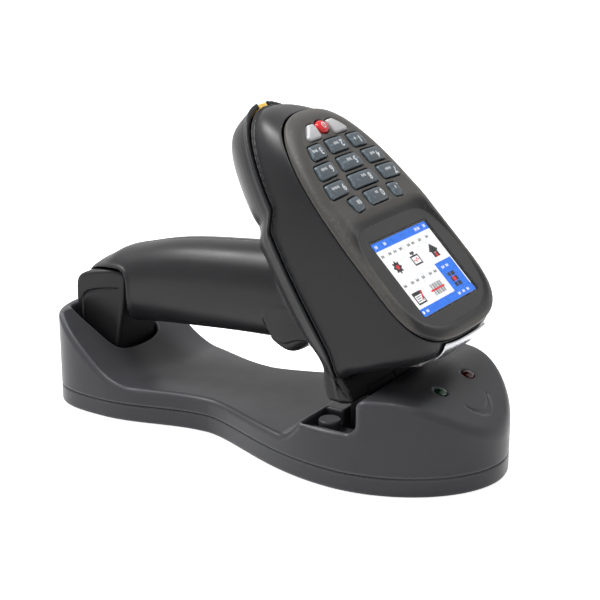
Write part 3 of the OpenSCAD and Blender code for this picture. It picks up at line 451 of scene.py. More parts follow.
CRADLE_LEN, DOME_W, BUTT_W, WAIST_W = 212, 87, 70.6, 50
REAR_H, SADDLE_H, RIDGE_H, DOME_H, TIP_H = 42, 15.5, 24, 39.3, 21.4
BASE_H, BASE_Z, FLOOR_Z, CRADLE_WALL, INSET = 8, 0.2, 1, 2.4, 0.6
BUTT_X, WAIST_X, DOME_X, WALL_X, RIDGE_X, CREST_X = -71, -20, 52, 62.5, 36.5, 73
POCKET_FLOOR, SLOT_FLOOR, LEDGE_FLOOR, SEAT_TOP = 13.5, 15.7, 18.5, 22.6
LED_X, LED_Y, LED_R = 83.8, 11.6, 2.85
# Places of the screws, feet, contact pins and round seats on the near side; the far side mirrors them.
SCREWS, FEET, PIN, SEAT = ((-54, 20), (78, 25)), ((-88, 18), (30, 31), (84, 16)), (53, 7), (43.4, 28.6)
BOSS_R, SCREW_R, SCREW_HEAD_R, FOOT_R, PIN_R, SEAT_R = 3.4, 1.6, 2.6, 6.1, 1.7, 4.6


def sine(t):
    return math.sin(math.radians(t))


def cosine(t):
    return math.cos(math.radians(t))


def ease(t):
    return (1 - cosine(180 * t)) / 2


def power(v, e):
    return max(0, v) ** e


def steps(a, b, n):
    return [a + (b - a) * i / n for i in range(n + 1)]


def plan_half():
    half = CRADLE_LEN / 2
    return ([(BUTT_X - (half + BUTT_X) * power(cosine(t), 0.625), BUTT_W / 2 * power(sine(t), 0.625))
             for t in steps(0, 88, 44)]
            + [(BUTT_X + (WAIST_X - BUTT_X) * t, (BUTT_W + (WAIST_W - BUTT_W) * ease(t)) / 2)
               for t in steps(0, 0.96, 24)]
            + [(WAIST_X + (DOME_X - WAIST_X) * t, (WAIST_W + (DOME_W - WAIST_W) * ease(t ** 0.75)) / 2)
               for t in steps(0, 0.97, 32)]
            + [(DOME_X + (half - DOME_X) * power(cosine(t), 1.05), DOME_W / 2 * power(sine(t), 1.05))
               for t in steps(90, 0, 45)])


def dome_z(x):
    return DOME_H - (DOME_H - TIP_H) * max(0, (x - CREST_X) / (CRADLE_LEN / 2 - CREST_X)) ** 2.05


def top_line():
    slope = (REAR_H - 17.5) / 30.5
    rear = [(-108, REAR_H), (-97.5, REAR_H)]
    rear += [(-74 + 18 * t, SADDLE_H + 9 * slope * (1 - t) ** 2 + 0.02) for t in steps(0, 1, 12)]
    saddle = [(RIDGE_X - 11 * (1 - t), SADDLE_H + (RIDGE_H - SADDLE_H) * t ** 1.9) for t in steps(0, 1, 12)]
    arc = [(WALL_X - 4.4 + 4.4 * sine(t), RIDGE_H + 0.4 + 4.4 - 4.4 * cosine(t)) for t in steps(0, 90, 12)]
    lip = [(WALL_X, 35.8), (WALL_X + 0.4, 37), (WALL_X + 1.2, 38), (WALL_X + 2.2, 38.6), (WALL_X + 3.4, 38.9),
           (WALL_X + 6, 39.15)]
    dome = [(x, dome_z(x)) for x in steps(CREST_X, 106, 33)]
    return rear + saddle + arc + lip + dome + [(108, TIP_H - 2)]


POCKET = smooth_outline(mirrored([(-100.8, 0), (-100.8, 17), (-99.6, 19.8), (-96.8, 21), (-83, 17.2),
                                  (-79.2, 15.8), (-77, 13.4), (-75.9, 8), (-75.5, 0)]))


def build_cradle():
    space = Space((-107.5, -45, 6.5), (107.5, 45, 43.5), 0.5 * FINE)
    z = space.z
    plan = space.xy(mirrored(plan_half()))
    side = space.xz([(-108, -20)] + top_line() + [(108, -20)])
    form = both(plan, side, 2.6)
    shell = both(form, BASE_H - z, 0.5)
    shell = less(shell, both(plan + CRADLE_WALL, side + CRADLE_WALL, 1.5))
    pocket = both(space.xy(POCKET), POCKET_FLOOR - z)
    pocket_wall = all_of(space.xy(POCKET) - CRADLE_WALL, POCKET_FLOOR - CRADLE_WALL - z, form + INSET)
    slot = both(space.xy([(45.5, -24), (62, -24), (62, 24), (45.5, 24)]), SLOT_FLOOR - z)
    ledge = both(both(np.abs(space.x - 49.75) - 12.25, np.abs(space.aside - 31.2) - 9.4, 0.8),
                 LEDGE_FLOOR - z, 0.8)
    notch_wall = all_of(np.abs(space.x - 49.5) - 15, space.aside - 42, SLOT_FLOOR - CRADLE_WALL - z,
                        form + INSET)
    shell = either(shell, either(pocket_wall, notch_wall))
    for x, y in SCREWS:
        shell = either(shell, all_of(space.pair(x, y, BOSS_R), BASE_H - z, form + INSET))
    shell = less(shell, pocket, 1.6)
    shell = less(shell, slot, 0.6)
    shell = less(shell, ledge, 0.8)
    # A round seat stands in each ledge beside the slot.
    seat = both(space.pair(*SEAT, SEAT_R), z - SEAT_TOP, 0.7)
    shell = either(shell, all_of(seat, LEDGE_FLOOR - 2 - z, form + INSET), 0.4)
    # A shallow crescent pressed into the dome, and the seats of the two indicators.
    crescent = smooth_outline([(92.6, -9.6), (95.6, -6.6), (97.2, -3.2), (97.6, 0), (97.2, 3.2), (95.6, 6.6),
                               (92.6, 9.6), (96.6, 7.4), (99, 3.6), (99.7, 0), (99, -3.6), (96.6, -7.4)], 2)
    dome = space.xz([(60, 80)] + [(x, dome_z(x) - 0.8) for x in steps(60, 106, 46)] + [(106, 80)])
    shell = less(shell, both(space.xy(crescent), dome), 0.5)
    shell = less(shell, both(space.pair(LED_X, LED_Y, LED_R), dome_z(LED_X) - 8 - z), 0.3)
    shell = less(shell, both(space.pair(*PIN, PIN_R), 12 - z))
    skin(space, shell, "cradle_top", "cradle_plastic", ["cradle_shell"], "cradle")

    space = Space((-107.5, -45, -1), (107.5, 45, 9), 0.5 * FINE)
    z = space.z
    plan = space.xy(mirrored(plan_half()))
    base = both(both(plan, BASE_Z - z, 0.8), z - BASE_H + 0.3, 0.4)
    base = less(base, both(plan + CRADLE_WALL, FLOOR_Z + CRADLE_WALL - z))
    # A lip behind the parting line closes it.
    base = either(base, all_of(plan + 0.7, -plan - CRADLE_WALL, np.abs(z - BASE_H + 0.6) - 1.2))
    for x, y in SCREWS:
        base = either(base, both(space.pair(x, y, BOSS_R), np.abs(z - 4.5) - 3.4))
        base = less(base, both(space.pair(x, y, SCREW_HEAD_R), z - 3.6))
        base = less(base, space.pair(x, y, SCREW_R))
    for x, y in FEET:
        base = less(base, both(space.pair(x, y, FOOT_R), z - 1.8), 0.3)
    base = less(base, all_of(space.x + 98, space.aside - 4, 5.1 - z))
    skin(space, base, "cradle_bottom", "cradle_plastic", ["cradle_base"], "cradle")


# --- head

HEAD = Matrix.Translation(HEAD_AT) @ Matrix.Rotation(math.radians(HEAD_TILT), 4, "Y")
FACE_HALF_W, FACE_REAR, FACE_FRONT = 35.2, 78.6, 31.2
REAR_BULGE, NOSE_BULGE, SIDE_BULGE, WALL, GROOVE = 16, 4.1, 1.2, 2.2, 0.8
WIDEST_U, RIM_POWER = -12, 2.25
# The face panel's outline lies on a rim a little below the screen.
PANEL_HALF_W, PANEL_REAR, PANEL_FRONT, PANEL_WIDEST, RIM_W = 35.8, 80.4, 30.1, -0.9, -0.5
REAR_POWER, FRONT_POWER = 2.64, 3.06


def lerp(a, b, t):
    return a + (b - a) * t


def blend(t):
    t = np.clip(t, 0, 1)
    return t * t * (3 - 2 * t)


def sign_pow(v, e):
    return math.copysign(abs(v) ** e, v)


def egg_point(t, rear, front, half_w, n_rear=2.6, n_front=3.3, widest=WIDEST_U):
    e = 2 / n_rear if cosine(t) < 0 else 2 / n_front
    reach = widest - rear if cosine(t) < 0 else front - widest
    return widest + reach * sign_pow(cosine(t), e), half_w * sign_pow(sine(t), e)


def egg(d, step=2):
    """The face panel's outline, set in by d."""
    return [egg_point(t, -PANEL_REAR + d, PANEL_FRONT - d, PANEL_HALF_W - d, REAR_POWER,
                      FRONT_POWER, PANEL_WIDEST)
            for t in range(0, 360, step)]


def groove_w(u):
    return (lerp(-14.5 - 0.13 * (u + 85), -25.9 - 0.215 * (u + 44), blend((u + 53) / 8))
            - 0.016 * np.maximum(u, 0) ** 2)


def lower_ring(step=1.5):
    """Outline of the lower shell at the parting groove."""
    return [egg_point(i * step, -FACE_REAR - 0.7 - REAR_BULGE, FACE_FRONT + 0.6 + NOSE_BULGE,
                      FACE_HALF_W + 0.6 + SIDE_BULGE, RIM_POWER) for i in range(int(360 / step))]


def top_ring(k, step=1.5, extra=0.0):
    """Outline of the upper housing, from the panel's rim, k = 0, down to the parting groove, k = 1."""
    rear = -PANEL_REAR - 0.3 - 12.3 * (1 - (1 - k) ** 1.9)
    front = PANEL_FRONT + 0.3 + 4.9 * (1 - (1 - min(1, k / 0.26)) ** 1.8)
    half_w = PANEL_HALF_W + 0.3 + 0.6 * (1 - (1 - k) ** 2)
    ring = []
    for i in range(int(360 / step)):
        u, v = egg_point(i * step, rear, front, half_w, lerp(REAR_POWER, RIM_POWER, k),
                         lerp(FRONT_POWER, 3.5, min(1, 3 * k)), lerp(PANEL_WIDEST, WIDEST_U, k))
        ring.append((u, v, lerp(RIM_W, float(groove_w(u)), k) + extra))
    return ring


def bowl_ring(s, step=1.5):
    ku, kv = (1 - s ** 6) ** (1 / 6), (1 - s * s) ** 0.5
    ring = []
    for u0, v0 in lower_ring(step):
        u = WIDEST_U + (u0 - WIDEST_U) * ku
        depth = lerp(24.5, 19.7, float(blend((u + 60) / 20)))
        depth = max(5, depth - 0.016 * max(u, 0) ** 2 - 0.012 * max(u + 15, 0) ** 2)
        # A low bead runs along the shell's rim.
        lip = 1 + 0.5 * max(0, 1 - (s * depth / 1.9) ** 2) / math.hypot(u0 - WIDEST_U, v0)
        ring.append((WIDEST_U + (u - WIDEST_U) * lip, v0 * kv * lip, float(groove_w(u)) - GROOVE - s * depth))
    return ring


VISOR = ((55.4, 42.2), (86.2, 49.3))
VISOR_SLOPE = (VISOR[1][1] - VISOR[0][1]) / (VISOR[1][0] - VISOR[0][0])


def above_visor(x, z):
    """Height over the plane of the scan window, for points of the world."""
    return (z - VISOR[0][1] - (x - VISOR[0][0]) * VISOR_SLOPE) / math.hypot(1, VISOR_SLOPE)


TILT = cosine(HEAD_TILT)


def from_head(u, w):
    """World x and z of a place in the head's frame."""
    return HEAD_AT[0] + TILT * u + TILT * w, HEAD_AT[2] - TILT * u + TILT * w


def into_head(x, z):
    """The head's u and w of a place in the world."""
    return TILT * (x - HEAD_AT[0]) - TILT * (z - HEAD_AT[2]), TILT * (x - HEAD_AT[0]) + TILT * (z - HEAD_AT[2])


def housing_form(space):
    levels = ([top_ring(0, extra=3), top_ring(0, extra=0.5)] + [top_ring(k) for k in steps(0, 1, 28)]
              + [top_ring(1, extra=-8)])
    outer = space.rings(levels, 5)
    wx, wz = from_head(space.x, space.z)
    visor = above_visor(wx, wz)
    under = both(visor, 52.5 - wx, 3)
    return both(less(outer, under, 8), space.z - RIM_W, 1.0), visor, wx


def build_upper_housing():
    space = Space((-98, -39, -48), (38, 39, 2), 0.45 * FINE, HEAD)
    z = space.z
    form, visor, wx = housing_form(space)
    shell = less(form, form + WALL)
    above = groove_w(space.x) - z
    shell = both(shell, above, 0.4)
    # The skin steps in along the groove.
    shell = less(shell, both(above + 0.6, -1.3 - form), 0.3)
    shell = less(shell, both(space.xy(egg(-0.55)), RIM_W - 2.6 - z), 0.25)
    shell = less(shell, all_of(space.xy(egg(2.6)), -9 - z, z - 4))
    # Opening of the scan window: all that lies within the rim.
    shell = less(shell, all_of(form + 2.6, visor - 4, 55 - wx), 0.5)
    skin(space, shell, "housing_top", "housing_plastic", ["upper_housing"])
    frame_plate = all_of(form + 1.3, np.abs(visor - 1.6) - 0.8, 56.5 - wx)
    opening = both(np.abs(wx - 69.2) - 9.2, space.aside - 20, 1.0)
    frame_plate = less(frame_plate, opening, 0.3)
    skin(space, frame_plate, "scan_frame", "housing_plastic", ["window_frame"], rounds=2, look="black_insert")


PLATE = [(-18.2, -2.6), (-17.2, -13.2), (14.2, -12.8), (15.3, -2.7)]


def build_plate():
    """A thin blank plate that follows the nose."""
    space = Space((24, -20, -13), (38, 20, 1), 0.22 * FINE, HEAD)
    form = housing_form(space)[0]
    plate = both(np.abs(form + 0.1) - 0.42, space.yz(round_quad(PLATE, 1.2, 0)), 0.3)
    plate = both(plate, 27 - space.x)
    skin(space, plate, "nose_plate", "silver_plate", ["name_plate"], rounds=2)


def build_light_pipe():
    """The light bar between the tips of the two grip halves, flush with them."""
    space = Space((-97, -4, -17.5), (-86, 4, -10), 0.2 * FINE, HEAD)
    rise = space.z - groove_w(space.x)
    pipe = both(both(space.xy(lower_ring()) + 0.15, space.aside - 2.95, 0.8), space.x + 88.4)
    pipe = both(pipe, np.abs(rise + 2.3) - 1.2, 0.4)
    skin(space, pipe, "tip_light", "amber_pipe", ["light_pipe"], rounds=2)


# The grip from butt to head: x, height of its middle, half height, half width.
GRIP_LINE = [(-97.4, 50.4, 5.4, 8.6), (-95.6, 49.8, 9.4, 12.4), (-92, 49.8, 12.3, 15.2), (-87, 50.4, 14.5, 16.8),
             (-80, 52, 16.8, 17.6), (-70, 54, 17.8, 18), (-55, 56.8, 18.9, 18), (-40, 58.7, 19.5, 18),
             (-16, 61, 19.8, 18), (6, 62.6, 20.2, 18.4), (35.5, 64.4, 20.8, 19)]
CHIN = [(37, 58), (38.6, 54), (41.4, 48.2), (42.6, 44.6), (42.7, 39.5), (43.4, 35.6), (44.4, 33.3), (46.3, 31.8),
        (55.6, 33.0), (56.7, 34.0), (55.6, 35.4), (53.6, 38.3), (50.8, 42.3), (47.5, 47.1), (43.8, 52.6)]
CHIN_LINE = [(43.9, 45.6), (45.9, 44.1), (48.9, 41.3), (51.7, 38.4), (54.2, 35.3)]
# Cheeks beside the trigger: behind the crease at the grip, and above the finger's hollow.
COLLAR = [(3.2, 62), (3.4, 54.6), (4.3, 51.4), (6.2, 48.5), (9.1, 46.4), (12.1, 45.2), (14.6, 45), (17, 46.2),
          (19.4, 47.3), (23.9, 48.4), (29, 48.4), (40, 52), (40, 62)]


def spline(x, column):
    """A smooth value through one column of the grip's table."""
    xs, values = [row[0] for row in GRIP_LINE], [row[column] for row in GRIP_LINE]
    i = min(max(int(np.searchsorted(xs, x)) - 1, 0), len(xs) - 2)
    x0, x1 = xs[i], xs[i + 1]
    t = (x - x0) / (x1 - x0)

    def slope(j):
        a, b = max(j - 1, 0), min(j + 1, len(xs) - 1)
        return (values[b] - values[a]) / (xs[b] - xs[a])
    m0, m1 = slope(i) * (x1 - x0), slope(i + 1) * (x1 - x0)
    return ((2 * t ** 3 - 3 * t ** 2 + 1) * values[i] + (t ** 3 - 2 * t ** 2 + t) * m0
            + (3 * t ** 2 - 2 * t ** 3) * values[i + 1] + (t ** 3 - t ** 2) * m1)


# Half the gap between the grip halves, and the holes of the grip's screws.
SEAM, GRIP_SCREWS, GRIP_SCREW_R = 0.03, ((-48, 43.7), (-25, 45.4)), 2.4
BOWL_DEPTHS = (0.985, 0.97, 0.95, 0.92, 0.89, 0.85, 0.8, 0.75, 0.7, 0.6, 0.5, 0.4, 0.3, 0.2, 0.14, 0.1, 0.075,
               0.05, 0.025, 0)


def grip_rings():
    places = [-98.2, -98, -97.7] + steps(-97.4, -92, 12) + steps(-91.5, -80, 14) + steps(-79, 35.5, 60)
    rings = []
    for x in places:
        inner = min(1, max(0, (x + 98.3) / 0.9)) ** 0.5 if x < -97.4 else 1
        at = max(x, -97.4)
        zc, h, w = spline(at, 1), spline(at, 2) * inner, spline(at, 3) * inner
        lean = 8 * float(blend((x - 6) / 29.5))
        ring = []
        for i in range(120):
            side, rise = sign_pow(sine(3 * i), 2 / 2.3), sign_pow(cosine(3 * i), 2 / 2.3)
            ring.append((x - lean * rise, w * side, zc + h * rise))
        rings.append(ring)
    return rings


def to_world(rings):
    return [[(x, v, z) for u, v, w in ring for x, z in (from_head(u, w),)] for ring in rings]


CAP_FIT = [(-107, 10), (-107, 49), (-98.4, 49), (-97.8, 53.2), (-96.5, 56.2), (-93.4, 58.5), (-89.1, 60.1),
           (-82.6, 61.6), (-76, 62.3), (-72.2, 62), (-69.8, 60.4), (-68.6, 57.2), (-68.6, 51), (-69.8, 44), (-73.5, 24),
           (-76, 10)]


def near_line(space, line, width):
    """Distance to a line of points in x and z, less half its width."""
    nearest = None
    for a, b in zip(line, line[1:]):
        ex, ez = b[0] - a[0], b[1] - a[1]
        t = np.clip(((space.x - a[0]) * ex + (space.z - a[1]) * ez) / (ex * ex + ez * ez), 0, 1)
        d = np.hypot(space.x - a[0] - ex * t, space.z - a[1] - ez * t)
        nearest = d if nearest is None else np.minimum(nearest, d)
    return nearest - width / 2


def build_grips():
    space = Space((-100, -39, 14), (97, 1.5, 142), 0.5 * FINE)
    z = space.z
    bowl = space.rings(to_world([bowl_ring(depth) for depth in BOWL_DEPTHS]
                                + [[(u, v, w + 5) for u, v, w in bowl_ring(0)]]), 6)
    keep = space.xz([(-60, 160), (120, 160), (120, 31.8), (46.3, 31.8), (44.4, 33.3), (43.4, 35.6), (42.7, 39.5),
                     (42.6, 43.6), (-60, 43.6)])
    bowl = both(bowl, keep, 1.0)
    grip = space.rings(grip_rings(), 6)
    cap_fit = space.xz(smooth_outline(CAP_FIT, 1))
    # A low bead along the edge that hoods the butt cap.
    grip = either(grip, both(grip - 0.45, cap_fit - 1.5, 0.4), 0.5)
    collar = both(space.xz(smooth_outline(COLLAR, 1)), space.aside - 17.9 - 0.9 * blend((space.x - 4) / 14), 1.6)
    chin = both(space.xz(smooth_outline(CHIN, 1)), space.aside - 33.2, 1.6)
    tongue = both(space.xz([(47.5, 36), (56, 36), (57, 34), (58.5, 19), (57.5, 16), (48.5, 16), (47.5, 18)]),
                  space.aside - 20, 1.0)
    form = either(either(either(either(bowl, grip, 5), collar, 0.8), chin, 1.2), tongue, 0.6)
    form = less(form, both(near_line(space, CHIN_LINE, 0.6), 32.7 - space.aside), 0.3)
    u, w = into_head(space.x, z)
    below = w - groove_w(u) + GROOVE
    shell = less(form, form + WALL)
    # The chin and the tongue reach past the groove, up to their own edges.
    shell = both(shell, np.minimum(np.minimum(below, chin - 0.6), tongue - 0.6), 0.4)
    shell = less(shell, cap_fit, 0.3)
    shell = less(shell, all_of(np.abs(space.x - 17.25) - 12.75, space.aside - 15.3, z - 59.6), 0.4)
    shell = less(shell, all_of(above_visor(space.x, z) - 1, 55.4 - space.x, 36 - z), 0.4)
    # Notch of the light pipe in the rear tip.
    shell = less(shell, all_of(u + 88, space.aside - 3.3, -below - 2.4), 0.3)
    # A bulkhead closes the grip's mouth behind the cap; it is black, painted shade in the gap round the cap.
    mouth = all_of(grip + 1.7, np.abs(cap_fit - 1.3) - 0.7, space.x + 60)
    # Under the head, between the chins, the shell is painted black: painted shade.
    throat = all_of(0.833 * (55.9 - space.x) + 0.553 * (34.6 - z) - 1.3, space.aside - 31.6,
                    z - 50, 46 - space.x)
    for half, flip in (("near", False), ("far", True)):
        for name, field in (("throat_shade_", both(shell, throat)), ("mouth_shade_", mouth)):
            skin(space, both(field, space.y + SEAM), name + half, "black_insert", flip_y=flip, rounds=2)
        part = both(less(shell, throat), space.y + SEAM, 0.3)
        if flip:
            for screw_x, screw_z in GRIP_SCREWS:
                hole = both(np.hypot(space.x - screw_x, z - screw_z) - GRIP_SCREW_R, space.y + 11.2)
                part = less(part, hole, 0.3)
        skin(space, part, "grip_half_" + half, "housing_plastic", ["grip_" + half], flip_y=flip)


CAP_SIDE = [(-99.2, 14.8), (-99.2, 49), (-98.6, 53), (-97, 56), (-93.8, 58), (-89, 59.3), (-82.5, 60.5),
            (-76.5, 61), (-73.4, 60), (-72, 57.4), (-72, 30), (-79, 19), (-81, 13.8), (-98, 13.8)]


def build_cap():
    space = Space((-100.2, -20, 12.8), (-69.5, 20, 62.5), 0.4 * FINE)
    z = space.z
    slant = math.radians(11.2)
    lean = (space.x + 72) * math.cos(slant) - (z - 57.4) * math.sin(slant)
    # The cheeks draw in towards the leaning front.
    narrow = (space.aside - 13.6 + lean * 0.15) / math.hypot(1, 0.15)
    plan = both(both(lean, narrow, 1.6), both(space.aside - 17.4, -99.2 - space.x, 3))
    form = both(space.xz(smooth_outline(CAP_SIDE, 2)), plan, 2.0)
    c, s = math.cos(math.radians(4.6)), math.sin(math.radians(4.6))
    along = (space.x + 67) * c + (z - 55.6) * s
    off = np.hypot(space.y, (z - 55.6) * c - (space.x + 67) * s)
    bore = both(off - 9.5, -4.7 - along)
    form = less(form, bore)
    # A low raised cheek on each side, bounded by a step.
    cheek = space.xz(smooth_outline([(-94.6, 0), (-94.6, 43), (-94, 47.2), (-90.5, 49.4), (-84, 50.9), (-75, 52),
                                     (-60, 52), (-60, 0)], 2))
    outside = both(np.abs(cheek - 0.3) - 0.45, -0.6 - np.maximum(narrow, space.aside - 17.4))
    form = less(form, both(outside, space.x + 76.4), 0.3)
    screw = np.hypot(space.y, z - 42)
    form = less(form, both(screw - 2.3, space.x + 96), 0.3)
    form = less(form, both(screw - 1.15, space.x + 84))
    skin(space, form, "cap", "housing_plastic", ["butt_cap"])
    # A black piece on the front, between the cheeks: painted shade where the front lies in shadow.
    front_shade = both(both(both(lean - 0.25, -1.2 - lean), narrow + 1.1, 0.3), z - 53, 0.3)
    front_shade = less(both(front_shade, 15 - z), bore)
    skin(space, front_shade, "cap_seal", "black_insert", rounds=2)


TRIGGER_SIDE = [(5, 53.7), (5, 47), (5, 43.2), (6, 42), (8.9, 40.4), (11.4, 39.3), (13.6, 39), (15.9, 39.8),
                (18.9, 42), (21.8, 43.6), (26, 44.2), (26, 50.2), (18, 51.6), (8, 53.7)]


PIVOT = (26, 47)


def build_trigger():
    space = Space((3, -16, 37), (31, 16, 56), 0.3 * FINE)
    z = space.z
    rise = (space.y / 15) ** 4 * 3.2
    side = distance(space.x, z - rise, smooth_outline(TRIGGER_SIDE, 1))
    form = both(side, space.aside - 14.9, 1.4)
    barrel = both(np.hypot(space.x - PIVOT[0], z - PIVOT[1]) - 3.2, space.aside - 11, 0.4)
    form = either(form, barrel, 0.5)
    form = less(form, np.hypot(space.x - PIVOT[0], z - PIVOT[1]) - 1.3)
    form = less(form, both(np.hypot(space.x - 12, space.y) - 3.2, 52.4 - z))
    skin(space, form, "trigger_lever", "trigger_plastic", ["trigger"], "trigger", rounds=3)


RECESS = mirrored([(-24.6, 0), (-24.6, 12), (-24.2, 20), (-22.6, 25.2), (-18, 28.6), (-10, 30.8), (-2, 31.5),
                   (6, 31.2), (13, 29.6), (18.5, 26.4), (22.4, 20.5), (24.4, 12), (24.8, 0)])


def build_face():
    space = Space((-82, -37, -2.7), (32, 37, 2.4), 0.3 * FINE, HEAD)
    z = space.z
    rim = space.xy(egg(0.1))
    # Rails rise from the rim beside the keys; round the screen a bay sinks behind a brow.
    rail = lerp(1.6, 1.0, blend((space.x + 30) / 26)) + 0.5 * blend((space.x + 38) / 9) * blend(-(space.x + 18) / 9)
    crown = RIM_W + (rail - RIM_W) * (1 - (1 - np.clip(-rim / 6.5, 0, 1)) ** 2.2)
    out = space.xy(smooth_outline(RECESS, 2))
    t = np.clip(out / lerp(6.0, 2.2, blend((space.x + 27) / 6)), 0, 1)
    top = 0.12 + (crown - 0.12) * (0.35 * blend(t) + 0.65 * t)
    panel = both(rim, z - top, 0.45)
    panel = np.minimum(both(panel, -0.9 - z), both(both(panel, -1.5 - rim), -2.4 - z))
    panel = less(panel, both(np.abs(space.x) - 18.1, space.aside - 22.5, 1.0), 0.35)
    for name in KEYS:
        panel = less(panel, space.xy(key_outline(name, 0.5)), 0.3)
    skin(space, panel, "face_cover", "panel_plastic", ["face_panel"], rounds=2)


# --- keys

ROWS = [(5.4, 6.2, 10.4, 10.6, 18.2, 20.6), (6.4, 7.4, 12.2, 12.6, 23.2, 24.8),
        (7.8, 9.2, 13.8, 14.2, 25.6, 26.8), (6.0, 6.2, 12.2, 12.0, 18.6, 17.8)]
KEYS = {"key_1": (0, 1), "key_2": (0, 0), "key_3": (0, -1), "key_4": (1, 1), "key_5": (1, 0), "key_6": (1, -1),
        "key_7": (2, 1), "key_8": (2, 0), "key_9": (2, -1), "key_point": (3, 1), "key_0": (3, 0),
        "key_f": (3, -1), "power_key": None, "corner_key_near": None, "corner_key_far": None}
POWER_U, KEY_PITCH, FIRST_ROW, KEY_L = 70, 8.7, -60.4, 6
KEY_FOOT, KEY_TOP, KEY_ROUND = -1.2, 2.8, 0.85


def key_quad(name):
    if name.startswith("corner"):
        side = 1 if name.endswith("far") else -1
        quad = [(-POWER_U + 4.4, 15.4), (-POWER_U - 2.1, 8.6), (-POWER_U - 2.1, 4.8), (-POWER_U + 4.4, 5.2)]
    else:
        row, side = KEYS[name]
        u, h, w = FIRST_ROW + KEY_PITCH * row, KEY_L / 2, ROWS[row]
        if side == 0:
            u -= 0.3
            return [(u + h, w[1] + 0.9), (u - h, w[0]), (u - h, -w[0]), (u + h, -w[1])]
        inner = 0.5 if side < 0 else 0
        quad = [(u + h + 0.5, w[5]), (u - h + 0.5, w[4]), (u - h, w[2] - inner), (u + h, w[3] - inner)]
    return quad if side > 0 else [(u, -v) for u, v in reversed(quad)]


def round_quad(quad, r, grow, per_corner=9):
    """A quadrilateral with corners of radius r, then grown on all sides."""
    outline = []
    n = len(quad)
    for i in range(n):
        a, b, c = (np.array(quad[(i + k) % n], float) for k in (-1, 0, 1))
        e1, e2 = (a - b) / np.linalg.norm(a - b), (c - b) / np.linalg.norm(c - b)
        m = (e1 + e2) / np.linalg.norm(e1 + e2)
        half = math.acos(max(-1, min(1, float(e1 @ e2)))) / 2
        centre = b + m * r / math.sin(half)
        facing = math.atan2(-m[1], -m[0])
        for t in steps(-1, 1, per_corner - 1):
            a1 = facing + t * (math.pi / 2 - half)
            outline.append((centre[0] + (r + grow) * math.cos(a1), centre[1] + (r + grow) * math.sin(a1)))
    return outline


def key_outline(name, grow=0.0):
    if name == "power_key":
        return [(-POWER_U + (3 + grow) * cosine(t), (3.8 + grow) * sine(t)) for t in range(0, 360, 6)]
    return round_quad(key_quad(name), 0.9 if name.startswith("corner") else 1.1, grow + 0.25)


def extent(name):
    """Lowest and highest u, then lowest and highest v, of a key's outline."""
    us, vs = zip(*key_outline(name))
    return min(us), max(us), min(vs), max(vs)


def key_dome(name):
    """Height of a key's top over u and v."""
    u0, u1, v0, v1 = extent(name)
    cu, cv, ru, rv = (u0 + u1) / 2, (v0 + v1) / 2, (u1 - u0) / 2, (v1 - v0) / 2
    sag = 0.55 if name == "power_key" else 0.3
    return lambda u, v: KEY_TOP - sag * ((u - cu) / ru) ** 2 - sag * ((v - cv) / rv) ** 2


def key_surface(name, u, v):
    """Height of a key's surface, its rounded edge included."""
    d = float(distance(np.float32(u), np.float32(v), key_outline(name))) + 0.14
    return key_dome(name)(u, v) - KEY_ROUND + math.sqrt(max(0, KEY_ROUND ** 2 - max(0, d + KEY_ROUND) ** 2))


def head_point(u, v, w):
    p = HEAD @ Vector((u, v, w))
    return p.x * MM, p.y * MM, p.z * MM


def build_keys():
    for name in KEYS:
        slot = {"p": "power_key", "c": "grey_key"}.get(name[0], "blue_key")
        u0, u1, v0, v1 = extent(name)
        space = Space((u0 - 0.6, v0 - 0.6, KEY_FOOT - 0.5), (u1 + 0.6, v1 + 0.6, KEY_TOP + 0.5), 0.17 * FINE, HEAD)
        side = space.xy(key_outline(name)) + 0.08 * np.clip(space.z - 1, 0, 3)
        key = both(both(side, space.z - key_dome(name)(space.x, space.y), KEY_ROUND), KEY_FOOT - space.z)
        skin(space, key, name + "_cap", slot, [name], "button_" + name, rounds=2)


# --- printed marks


def glyph(text, size):
    """Points and faces of a printed sign, centred, in the plane of its own x and y."""
    curve = bpy.data.curves.new("sign", "FONT")
    curve.body, curve.size, curve.offset = text, size, 0.02 * size
    curve.align_x, curve.align_y = "CENTER", "CENTER"
    holder = bpy.data.objects.new("sign", curve)
    mesh = bpy.data.meshes.new_from_object(holder)
    # Fine faces follow the curve of a key's top.
    grid = bmesh.new()
    grid.from_mesh(mesh)
    bmesh.ops.triangulate(grid, faces=grid.faces)
    bmesh.ops.subdivide_edges(grid, edges=grid.edges, cuts=2, use_grid_fill=True)
    grid.to_mesh(mesh)
    grid.free()
    points = [(vert.co.x, vert.co.y) for vert in mesh.vertices]
    faces = [tuple(face.vertices) for face in mesh.polygons]
    bpy.data.objects.remove(holder)
    return points, faces


def bar(x, y, w, h):
    return [(x - w / 2, y - h / 2), (x + w / 2, y - h / 2), (x + w / 2, y + h / 2), (x - w / 2, y + h / 2)]


def print_on(name, shapes, at, look, body="terminal"):
    """Lays flat shapes on the head; at() gives a place in the head's frame for each point."""
    points, faces = [], []
    for shape in shapes:
        corners, sides = shape if isinstance(shape, tuple) else (shape, [tuple(range(len(shape)))])
        faces += [tuple(i + len(points) for i in side) for side in sides]
        points += [head_point(*at(x, y)) for x, y in corners]
    mesh = bpy.data.meshes.new(name)
    mesh.from_pydata(points, [], faces)
    mesh.update()
    mesh.calc_loop_triangles()
    outward = HEAD.to_3x3() @ Vector((0, 0, 1))
    if sum(face.normal.dot(outward) * face.area for face in mesh.polygons) < 0:
        mesh.flip_normals()
    dress(placed(name, mesh), body, look)


SIGN_SIZE, PROUD = 4.4, 0.1
DASH_W, DASH_H, TALL_DASH, DASH_STEP = 0.6, 1.3, 2.2, 1.05
